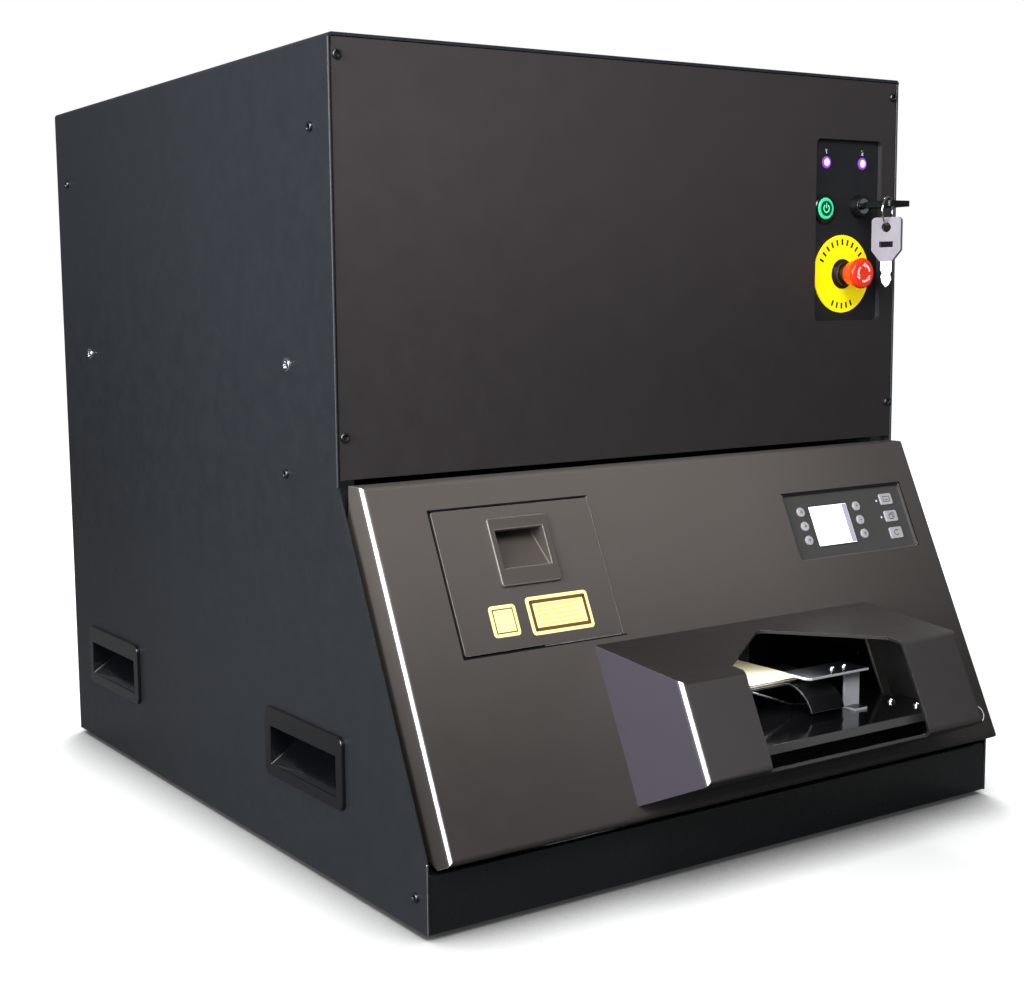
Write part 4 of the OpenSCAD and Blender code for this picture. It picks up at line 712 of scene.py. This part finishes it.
# how wide each piece's edges are broken, and where the painted highlight on the edges ends: (left of x,
# below z)
edges = {"side": 0.45, "top": 0.4, "rear": 0.3, "upperFront": 0.9, "plinth": 0.6, "cover": 0.6, "door": 0.45,
         "hood": 0.75, "handle": 1.3, "pull": 0.9}
bright = {"side": (-240.0, 245.0), "cover": (-240.0, 1000.0), "hood": (-40.0, 1000.0)}
paintHighlightOnEdges(edgeBroken("left_side_panel", edges["side"], (casePaint, caseRim)), *bright["side"])
edgeBroken("right_side_panel", edges["side"], (casePaint, caseRim))
edgeBroken("top_panel", edges["top"], (casePaint, caseRim))
edgeBroken("rear_panel", edges["rear"], (casePaint, caseRim))
edgeBroken("upper_front_panel", edges["upperFront"], (panelPaint, panelRim), steps=3)
edgeBroken("front_plinth", edges["plinth"], plinthPaint)
paintHighlightOnEdges(edgeBroken("front_cover", edges["cover"], (coverPaint, coverRim)), *bright["cover"])
edgeBroken("access_door", edges["door"], (coverPaint, coverRim))


def hoodFinish(middle, normal):
    # painted light and shade: the left wall gets a lighter lit copy of the hood paint, the slanted top a
    # darker shaded copy and the inside a near-black shade, apart from the front
    if normal.x < -0.7 and middle.x < -60:
        return 2
    if normal.z > 0.6:
        return 3
    innerSide = (normal.x < -0.7 and middle.x > 60) or (normal.x > 0.7 and middle.x < 0)
    if normal.z < -0.3 or normal.y > 0.3 or innerSide:
        return 4
    return 0


hoodFinishes = (hoodPaint, hoodRim, hoodSide, hoodTop, hoodInside)
paintHighlightOnEdges(edgeBroken("output_hood", edges["hood"], hoodFinishes, paint=hoodFinish), *bright["hood"])
edgeBroken("carry_handles", edges["handle"], handleBlack, steps=3)
edgeBroken("finger_pull", edges["pull"], (pullPlastic, pullRim), steps=3)
dressed(casePaint, "base_pan")
dressed(footRubber, "rubber_feet")
dressed(frameZinc, "chassis_frame", "printer_frame")
dressed(hingeZinc, "cover_hinge_ears", "cover_hinge_brackets", "door_hinge_pins")

# ---------- screws ----------

say("screws")
screw = {"headRadius": 3.2, "headHeight": 1.9, "socket": 1.9, "length": 8.0}
bolt = {"headRadius": 4.7, "headHeight": 1.2, "socket": 2.6, "length": 8.0}


def screwHead(sizes, crown):
    # a domed head with a six-lobed socket
    shape = bmesh.new()
    r, h, steps = sizes["headRadius"], sizes["headHeight"], 36
    rings = [(r * 0.55, -sizes["length"], 0), (r * 0.55, -0.2, 0), (r, -0.2, 0), (r, 0.35 * h, 0)]
    for part in (0.25, 0.5, 0.75, 1.0):
        rise = 0.35 + 0.65 * math.sin(part * math.pi / 2)
        rings.append((r * (1 - 0.5 * crown * part ** 2), h * rise, 0))
    socket = sizes["socket"]
    rings += [(socket, h, 1), (socket * 0.94, h - 0.15, 1), (socket * 0.9, h * 0.15, 1)]
    made = []
    for radius, z, lobed in rings:
        ring = []
        for i in range(steps):
            a = 2 * math.pi * i / steps
            reach = radius * (1 + 0.13 * math.cos(6 * a)) if lobed else radius
            ring.append(shape.verts.new(Vector((reach * math.cos(a), reach * math.sin(a), z)) * mm))
        made.append(ring)
    for a, b in zip(made, made[1:]):
        for i in range(steps):
            j = (i + 1) % steps
            shape.faces.new((a[i], a[j], b[j], b[i]))
    shape.faces.new(made[0][::-1])
    shape.faces.new(made[-1])
    return tidied(shape)


panel = {"face": 101.3, "frontX": (-250.5, 250.5), "frontZ": (536.8, 297.6),
         "sideHoles": ((125.4, 494.5), (568.7, 488.4), (170.5, 269.0), (12.7, 20.9)),
         "rearX": (-247.0, 247.0), "rearZ": (40.0, 275.0, 510.0),
         "topX": (-220.0, 220.0), "topY": (116.0, 582.0),
         "deckBolts": ((166.1, 342.7), (530.8, 342.7))}
frontSpots = [frontPlace(x, z, panel["face"]) for x in panel["frontX"] for z in panel["frontZ"]]
sideSpots = [sidePlace(side, y, z) for side in (-1, 1) for y, z in panel["sideHoles"]]
rearSpots = [rearPlace(x, z, cabinet["depth"]) for x in panel["rearX"] for z in panel["rearZ"]]
topSpots = [flatPlace(x, y, cabinet["height"]) for x in panel["topX"] for y in panel["topY"]]
repeated("panelScrews", screwHead(screw, 0.5), frontSpots + sideSpots + rearSpots + topSpots, darkScrew,
         "cabinet", ("panel_screws",))
boltSpots = [sidePlace(side, y, z) for side in (-1, 1) for y, z in panel["deckBolts"]]
repeated("sideBolts", screwHead(bolt, 0.3), boltSpots, brightBolt, "cabinet",
         ("panel_screws",))

# ---------- control recess ----------

say("control recess")
control = {"floor": 104.8, "lampX": (182.15, 221.45), "lampZ": 484.75, "lampRadius": 3.9,
           "captionZ": 490.6, "captionHeight": 3.4, "stroke": 0.62}
power = {"x": 179.55, "z": 449.55, "capRadius": 8.2, "face": 3.5, "ring": 5.9, "symbol": 2.9}
stop = {"x": 200.35, "z": 399.55, "plateTop": 0.8, "tickRadius": 24.6, "tickSize": (1.7, 4.6)}


def addStroke(shape, points, width, low, high, place, index=0):
    # a bar of one width along each stretch of a path
    for a, b in zip(points, points[1:]):
        a, b = Vector(a), Vector(b)
        along = (b - a).normalized() * width / 2
        side = Vector((-along.y, along.x))
        a, b = a - along * 0.6, b + along * 0.6
        outline = [tuple(a - side), tuple(b - side), tuple(b + side), tuple(a + side)]
        addSlab(shape, outline, low, high, place, index)


def numeral(digit, height):
    if digit == 1:
        stem = 0.05 * height
        return [[(-0.22 * height, 0.25 * height), (stem, 0.5 * height), (stem, -0.5 * height)]]
    bowl = arcPoints(0.27 * height, 160, -30, 8, (0, 0.22 * height))
    return [bowl + [(-0.28 * height, -0.5 * height), (0.3 * height, -0.5 * height)]]


edgeBroken("control_plate", 0.3, controlPaint)
captions = bmesh.new()
for digit, x in zip((1, 2), control["lampX"]):
    place = frontPlace(x, control["captionZ"] + 2.6, control["floor"])
    for path in numeral(digit, control["captionHeight"]):
        addStroke(captions, path, control["stroke"], 0.0, 0.12, place)
finishPiece("lampNumerals", tidied(captions), whiteInk, "cabinet")

lenses = bmesh.new()
for x in control["lampX"]:
    place = frontPlace(x, control["lampZ"], control["floor"])
    r = control["lampRadius"]
    addTurned(lenses, [(r * 0.74, 0.0), (r + 0.7, 0.0), (r + 0.7, 0.6), (r, 1.1), (r * 0.8, 1.0)], place, 1)
    dome = [(0, 0.1), (r * 0.8, 0.1), (r * 0.78, 1.1), (r * 0.6, 1.7), (r * 0.3, 2.0), (0, 2.1)]
    addTurned(lenses, dome, place, 0)
finishPiece("lampLenses", tidied(lenses), (lampGlow, lampRim), "cabinet", ("lamp_lenses",), 50)

edgeBroken("power_button_housing", 0.25, bezelBlack)
cap = bmesh.new()
place = frontPlace(power["x"], power["z"], control["floor"])
r, face = power["capRadius"], power["face"]
addTurned(cap, [(0, -6), (r, -6), (r, face - 0.6), (r - 0.6, face), (0, face)], place, 0, 56)
disc = power["ring"]
addTurned(cap, [(0, face - 0.05), (disc, face - 0.05), (disc, face + 0.08), (0, face + 0.08)], place, 1, 48)
symbol = power["symbol"]
addStroke(cap, arcPoints(symbol, 125, 415, 18), 0.7, face, face + 0.16, place, 2)
addStroke(cap, [(0, symbol * 1.35), (0, symbol * 0.1)], 0.7, face, face + 0.16, place, 2)
finishPiece("powerButton", tidied(cap), (greenGlow, greenDark, greenSign), "power_cap",
            ("power_button",))

edgeBroken("key_switch_body", 0.5, lockBlack)
edgeBroken("key_switch_rotor", 0.15, chrome)
edgeBroken("inserted_key", 0.25, keyBlack)
edgeBroken("key_ring", 0, chrome, smoothAngle=60)
keyLow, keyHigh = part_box("spare_key")
keySplit = 1000 * (keyLow[2] + (keyHigh[2] - keyLow[2]) * 0.43)
edgeBroken("spare_key", 0.2, (keyGrey, keyGreyRimHighlight, nickel),
           paint=lambda middle, normal: 2 if middle.z < keySplit else 0)

dressed(stopYellowPaintedGlow, "stop_button_plate")
tickShape = bmesh.new()
w, h = stop["tickSize"][0] / 2, stop["tickSize"][1] / 2
addSlab(tickShape, [(-w, -h), (w, -h), (w, h), (-w, h)], -0.1, 0.12, unit())
stopCentre = frontPlace(stop["x"], stop["z"], control["floor"] - stop["plateTop"])
tickSpots = []
for angle in [25 + 130 * i / 10.0 for i in range(11)] + [246 + 48 * i / 4.0 for i in range(5)]:
    tickSpots.append(stopCentre @ Matrix.Rotation(math.radians(angle - 90), 4, "Z")
                     @ Matrix.Translation((0, stop["tickRadius"], 0)))
repeated("stopTicks", tidied(tickShape), tickSpots, blackInk, "cabinet")
edgeBroken("stop_button_body", 0.3, collarBrown)
dressed(collarBrown, "stop_button_stem")
headLow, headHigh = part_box("stop_button_head")
headFace = 1000 * headLow[1] + cabinet["midDepth"]
edgeBroken("stop_button_head", 0.3, stopRed)
arrows = bmesh.new()
place = frontPlace(stop["x"], stop["z"], headFace)
for turn in (90, 210, 330):
    addArc(arrows, 5.4, 7.0, turn - 78, turn - 8, -0.1, 0.1, place)
    tip = Matrix.Rotation(math.radians(turn), 4, "Z")
    addSlab(arrows, [(4.3, -1.6), (8.1, -1.6), (6.3, 1.9)], -0.1, 0.1, place @ tip)
finishPiece("stopArrows", tidied(arrows), whiteInk, "stop_head")

# ---------- display ----------

say("display")
display = {"x": 166.45, "s": 177.44, "floor": 13.9, "lcd": (-18.0, -0.7, 41.0, 32.2), "band": 4.8,
           "roundX": (-46.9, 12.1), "roundS": (11.5, 0.4, -10.7),
           "squareX": 46.0, "squareS": (14.3, 0.4, -13.2),
           "keyTop": 15.1, "squareTop": 14.9, "ledX": 35.9, "ledS": (13.8, 0.3)}


def displayPlace(dx, ds, t):
    return slopePlace(display["x"] + dx, display["s"] + ds, t)


edgeBroken("display_plate", 0.3, displayFilm)
dressed(displayFilm, "display_screen")
lcd = bmesh.new()
dx, ds, wide, tall = display["lcd"]
addSlab(lcd, roundedOutline(wide, tall, 0.6, 3), 14.15, 14.24, displayPlace(dx, ds, 0), 2)
addSlab(lcd, roundedOutline(wide - 1.2, tall - 1.2, 0.4, 3), 14.2, 14.3, displayPlace(dx, ds, 0), 0)
bandX = dx + wide / 2 - 0.8 - display["band"] / 2
band = roundedOutline(display["band"], tall - 2.0, 0.3, 3)
addSlab(lcd, band, 14.25, 14.36, displayPlace(bandX, ds, 0), 1)
finishPiece("lcdFace", tidied(lcd), (screenGlow, screenBand, bezelBlack), "cover")

leds = bmesh.new()
ledDome = [(0, -0.2), (0.8, -0.2), (0.8, 0.15), (0.5, 0.3), (0, 0.35)]
for s in display["ledS"]:
    addTurned(leds, ledDome, displayPlace(display["ledX"], s, display["floor"]), 0, 16)
finishPiece("displayLeds", tidied(leds), lampGlow, "cover")

signs = {"up": [[(-1.0, -0.6), (0, 0.9), (1.0, -0.6), (-1.0, -0.6)]],
         "down": [[(-1.0, 0.6), (0, -0.9), (1.0, 0.6), (-1.0, 0.6)]],
         "plus": [[(-1.1, 0), (1.1, 0)], [(0, -1.1), (0, 1.1)]],
         "minus": [[(-1.1, 0), (1.1, 0)]],
         "ring": [arcPoints(1.0, 0, 360, 12)],
         "cross": [[(-0.9, -0.9), (0.9, 0.9)], [(-0.9, 0.9), (0.9, -0.9)]],
         "card": [[(-3.4, -2.0), (3.4, -2.0), (3.4, 2.0), (-3.4, 2.0), (-3.4, -2.0)],
                  [(-2.0, -0.5), (2.0, -0.5)]],
         "sheets": [[(-2.6, -2.2), (1.4, -2.2), (1.4, 1.2), (-2.6, 1.2), (-2.6, -2.2)],
                    [(-0.8, 1.2), (-0.8, 2.4), (3.0, 2.4), (3.0, -0.8), (1.4, -0.8)]],
         "turn": [arcPoints(2.1, 50, 330, 16), [(0.5, 2.6), (1.5, 1.5), (2.7, 2.2)]]}
roundSigns = ("ring", "up", "down", "plus", "minus", "cross")
for i in range(6):
    node = "round_key_%d" % (i + 1)
    edgeBroken(node, 0.12, keyCap)
    sign = bmesh.new()
    place = displayPlace(display["roundX"][i // 3], display["roundS"][i % 3], display["keyTop"])
    for path in signs[roundSigns[i]]:
        addStroke(sign, path, 0.42, -0.05, 0.05, place)
    finishPiece("roundKeySign%d" % (i + 1), tidied(sign), glyphInk, bodyOf(node))
for i, kind in enumerate(("card", "sheets", "turn")):
    node = "square_key_%d" % (i + 1)
    edgeBroken(node, 0.35, keyCap)
    sign = bmesh.new()
    place = displayPlace(display["squareX"], display["squareS"][i], display["squareTop"])
    for path in signs[kind]:
        addStroke(sign, path, 0.55, -0.05, 0.05, place)
    finishPiece("squareKeySign%d" % (i + 1), tidied(sign), glyphInk, bodyOf(node))

# ---------- door plates ----------

say("door plates")
plates = {"face": 17.3, "x": (-149.0, -98.5), "s": (126.7, 152.5), "frame": (3.5, 2.4),
          "tagFrame": (2.7, 0.9), "tagX": -168.6, "tagS": 139.2,
          "tag": 21.0, "thick": 0.28}


def addPlate(shape, x, s, wide, tall, lines, inset, bar):
    place = slopePlace(x, s, plates["face"])
    top = plates["thick"]
    addSlab(shape, roundedOutline(wide, tall, 2.6), 0.0, top, place, 0, 0.08)
    w, h = wide / 2 - inset, tall / 2 - inset
    addStroke(shape, [(-w, -h), (w, -h), (w, h), (-w, h), (-w, -h)], bar, top - 0.05, top + 0.05, place, 1)
    for i in range(lines):
        y = h * (0.66 - 1.32 * i / (lines - 1))
        end = w * (0.84 if i % 2 == 0 else 0.6)
        addStroke(shape, [(-w * 0.84, y), (end, y)], 0.75, top - 0.05, top + 0.03, place, 2)


# painted shade: dark strips laid round the door's opening and along the top of the display's recess, where
# the gaps fall dark
gapShade = {"wide": 0.95, "low": 16.3, "high": 16.56, "door": (-205.5, -76.0, 118.5, 217.6, -74.0),
         "display": (103.2, 230.3, 203.5, 152.0), "displayWide": 1.5}
gapShadeStrips = bmesh.new()
layer = (gapShade["low"], gapShade["high"], slopePlace())
left, topEnd, low, high, lowEnd = gapShade["door"]
addStroke(gapShadeStrips, [(topEnd, high), (left, high), (left, low), (lowEnd, low)], gapShade["wide"], *layer)
left, right, high, low = gapShade["display"]
addStroke(gapShadeStrips, [(left, high), (right, high)], gapShade["displayWide"], *layer)
addStroke(gapShadeStrips, [(right, high), (right, low)], gapShade["wide"], *layer)
finishPiece("coverSeals", tidied(gapShadeStrips), bezelBlack, "cover")

doorPlates = bmesh.new()
(x0, x1), (s0, s1) = plates["x"], plates["s"]
addPlate(doorPlates, (x0 + x1) / 2, (s0 + s1) / 2, x1 - x0, s1 - s0, 5, *plates["frame"])
addPlate(doorPlates, plates["tagX"], plates["tagS"], plates["tag"], plates["tag"], 0, *plates["tagFrame"])
finishPiece("doorPlates", tidied(doorPlates), (labelYellowPaintedGlow, brownInk, labelOrangePaintedGlow), "door")

# ---------- output ----------

say("output")
tray = {"front": -50.0, "top": 92.0, "bolts": ((128.9, -17.0), (134.9, -35.4))}
bracket = {"top": 121.0, "screws": ((80.0, -6.0), (92.0, -6.0))}
guideWire = {"path": ((14.0, 5.0, 111.4), (50.4, 5.0, 97.8), (76.0, 5.0, 94.2)), "radius": 0.7}
trayFront = tray["front"] - cabinet["midDepth"]
# painted light: the tray's front face lighter than its glossy black top
edgeBroken("output_tray", 0.35, (trayGloss, trayRim, trayEdge),
           paint=lambda middle, normal: 2 if normal.y < -0.9 and abs(middle.y - trayFront) < 0.5 else 0)
# painted shade: the bracket's upward faces darker than its lit legs
edgeBroken("output_bracket", 0.25, (bracketSteel, bracketRim, bracketTop),
           paint=lambda middle, normal: 2 if normal.z > 0.7 else 0)
edgeBroken("card_chute", 0.3, (chuteBlack, chuteRim), smoothAngle=50)
edgeBroken("printed_card", 0.12, cardFace)
smallBolt = {"headRadius": 2.9, "headHeight": 2.0, "socket": 1.3, "length": 2.0}
bracketScrew = {"headRadius": 2.2, "headHeight": 1.1, "socket": 1.2, "length": 2.0}
boltSpots = [flatPlace(x, y, tray["top"]) for x, y in tray["bolts"]]
repeated("trayBolts", screwHead(smallBolt, 0.6), boltSpots, brightBolt, "cover")
screwSpots = [flatPlace(x, y, bracket["top"]) for x, y in bracket["screws"]]
repeated("bracketScrews", screwHead(bracketScrew, 0.5), screwSpots, brightBolt, "cover")

wire = bmesh.new()
addRod(wire, [cabinetPoint(*spot) for spot in guideWire["path"]], guideWire["radius"] / 1000.0)
finishPiece("guideWire", tidied(wire), nickel, "cover", smoothAngle=60)
# painted highlight: a thin white crescent on the cover, low on the right, standing in for a bright arc of
# light
arcHighlight = bmesh.new()
addArc(arcHighlight, 5.5, 6.3, -72, 66, -0.1, 0.12, slopePlace(235.2, 15.5, 16.5))
finishPiece("coverRingEdge", tidied(arcHighlight), whiteInk, "cover")

# ---------- works ----------

say("works")
works = {"y": 150.0, "driveZ": 102.45, "pressZ": 122.6, "shaft": 5.0, "boardTop": 64.5}


def rollerPaint(axisZ):
    def paint(middle, normal):
        behind = middle.y - works["y"] + cabinet["midDepth"]
        away = math.hypot(behind, middle.z - axisZ - cabinet["footHeight"])
        return 1 if away > works["shaft"] + 0.5 else 0
    return paint


for node, axisZ in (("drive_roller", works["driveZ"]), ("pressure_roller", works["pressZ"])):
    edgeBroken(node, 0, (nickel, rollerRubber), smoothAngle=50, paint=rollerPaint(axisZ))
edgeBroken("feed_motor", 1.2, motorPaint)
edgeBroken("scan_head", 1.0, (motorPaint, caseRim))
edgeBroken("marking_unit", 0.6, (unitAlloy, unitRim))
edgeBroken("power_supply", 0.5, (unitAlloy, unitRim))
dressed(pulleyAlloy, "motor_pulley")
dressed(beltRubber, "drive_belt")
edgeBroken("control_board", 0, (boardGreen, chipBlack),
           paint=lambda middle, normal: 1 if middle.z > works["boardTop"] else 0)
edgeBroken("fan_frame", 0.4, fanPlastic)
dressed(fanPlastic, "fan_rotor")
edgeBroken("mains_inlet", 0.4, inletPlastic)
edgeBroken("mains_rocker", 0.3, inletPlastic)

# ---------- stage, light and camera ----------

say("stage")
viewpoint = {"place": (-0.75215, -1.0492385, 0.388), "azimuth": 32.4, "elevation": -7.15, "roll": -0.87,
             "focal": 1601.0, "frameWidth": 1024.0, "centreX": 430.0}


# ambient light, the paper's glow near and far, and softboxes as (place, target, size, watts)
studio = {"ambient": 0.16, "ambientColour": (0.9, 0.94, 1.0, 1), "paperNear": 0.55, "paperFar": 1.3,
          "paper": 0.62, "paperGlow": 0.34, "contact": (0.07, 0.3, 0.85, 0.1), "paperBounce": 0.10,
          "hidden": ("mouthLamp", "edgeStrip"),
          "lamps": {"mouthLamp": ((0.03, -0.262, 0.142), (0.03, -0.24, 0.1), (0.07, 0.03), 0.11),
                    "edgeStrip": ((-1.7, -1.25, 0.55), (0.0, -0.1, 0.2), (0.12, 1.5), 9),
                    "leftSoftbox": ((-2.2, -0.5, 0.85), (0.0, 0.0, 0.25), (1.3, 1.1), 66),
                    "frontSoftbox": ((-0.9, -1.5, 1.5), (0.0, -0.1, 0.35), (0.9, 0.9), 40),
                    "topSoftbox": ((0.6, 0.95, 2.3), (0.0, 0.0, 0.2), (1.2, 1.2), 60)}}


def setCamera():
    az, el, roll = (math.radians(viewpoint[k]) for k in ("azimuth", "elevation", "roll"))
    ahead = Vector((math.sin(az) * math.cos(el), math.cos(az) * math.cos(el), math.sin(el)))
    right = Vector((math.cos(az), -math.sin(az), 0.0))
    up = right.cross(ahead)
    rolledRight = right * math.cos(roll) + up * math.sin(roll)
    rolledUp = -right * math.sin(roll) + up * math.cos(roll)
    lens = bpy.data.cameras.new("camera")
    lens.sensor_width = 36.0
    lens.lens = 36.0 * viewpoint["focal"] / viewpoint["frameWidth"]
    lens.shift_x = (viewpoint["frameWidth"] / 2 - viewpoint["centreX"]) / viewpoint["frameWidth"]
    camera = addObject("camera", lens)
    turn = Matrix((rolledRight, rolledUp, -ahead)).transposed().to_4x4()
    camera.matrix_world = Matrix.Translation(Vector(viewpoint["place"])) @ turn
    bpy.context.scene.camera = camera


def addLamp(name, place, target, size, power):
    lamp = bpy.data.lights.new(name, "AREA")
    lamp.shape = "RECTANGLE"
    lamp.size, lamp.size_y = size
    lamp.energy = power
    holder = addObject(name, lamp)
    ahead = (Vector(target) - Vector(place)).normalized()
    turn = ahead.to_track_quat("-Z", "Y").to_matrix().to_4x4()
    holder.matrix_world = Matrix.Translation(Vector(place)) @ turn
    holder.visible_camera = name not in studio["hidden"]


# The camera, also through glass, sees the pale side; every other ray sees the dull one
def choosePale(tree, dull, pale, output):
    path = addNode(tree, "ShaderNodeLightPath")
    shown = addNode(tree, "ShaderNodeMath", operation="MAXIMUM")
    choice = tree.nodes.new("ShaderNodeMixShader")
    link = tree.links.new
    link(path.outputs["Is Camera Ray"], shown.inputs[0])
    link(path.outputs["Is Transmission Ray"], shown.inputs[1])
    link(shown.outputs[0], choice.inputs["Fac"])
    link(dull.outputs[0], choice.inputs[1])
    link(pale.outputs[0], choice.inputs[2])
    link(choice.outputs[0], tree.nodes[output].inputs["Surface"])


def setFloor():
    shape = bmesh.new()
    addSlab(shape, [(-30, -30), (30, -30), (30, 30), (-30, 30)], -0.02, 0.0, Matrix.Identity(4))
    mesh = meshOf("floor", shape)
    floor = addObject("floor", mesh)
    # pale paper that brightens away from the object
    finish, tree, shader = startFinish("floorPaper")
    shader.inputs["Roughness"].default_value = 0.95
    shader.inputs["Specular IOR Level"].default_value = 0.0
    link = tree.links.new
    place = addNode(tree, "ShaderNodeTexCoord")
    reach = addNode(tree, "ShaderNodeVectorMath", operation="LENGTH")
    link(place.outputs["Object"], reach.inputs[0])
    span = (studio["paperNear"], studio["paperFar"])
    away = mapped(tree, reach.outputs["Value"], span, (studio["paperGlow"], 1.0))
    # close under the object the paper darkens, as it does in a corner that little light reaches
    corner = addNode(tree, "ShaderNodeAmbientOcclusion")
    corner.samples = 8
    distance, closed, opened, darkest = studio["contact"]
    corner.inputs["Distance"].default_value = distance
    darker = mapped(tree, corner.outputs["AO"], (closed, opened), (darkest, 1.0))
    shade = addNode(tree, "ShaderNodeVectorMath", operation="SCALE")
    shade.inputs[0].default_value = (studio["paper"],) * 3
    link(darker, shade.inputs["Scale"])
    link(shade.outputs["Vector"], shader.inputs["Base Color"])
    glow = addNode(tree, "ShaderNodeEmission")
    dimmer = addNode(tree, "ShaderNodeMath", operation="MULTIPLY")
    link(away, dimmer.inputs[0])
    link(darker, dimmer.inputs[1])
    link(dimmer.outputs[0], glow.inputs["Strength"])
    pale = tree.nodes.new("ShaderNodeAddShader")
    link(shader.outputs[0], pale.inputs[0])
    link(glow.outputs[0], pale.inputs[1])
    dull = addNode(tree, "ShaderNodeBsdfDiffuse", Color=(studio["paperBounce"],) * 3 + (1,))
    choosePale(tree, dull, pale, "Material Output")
    mesh.materials.append(finish)


def setWorld():
    world = bpy.data.worlds.new("studio")
    bpy.context.scene.world = world
    world.use_nodes = True
    air = world.node_tree
    ambient = air.nodes["Background"]
    ambient.inputs["Color"].default_value = studio["ambientColour"]
    ambient.inputs["Strength"].default_value = studio["ambient"]
    white = addNode(air, "ShaderNodeBackground", Strength=1.0)
    white.inputs["Color"].default_value = (1, 1, 1, 1)
    choosePale(air, ambient, white, "World Output")


setCamera()
setFloor()
setWorld()
for name, (place, target, size, watts) in studio["lamps"].items():
    addLamp(name, place, target, size, watts)
bpy.context.scene.view_settings.view_transform = "Standard"

say("sizes")
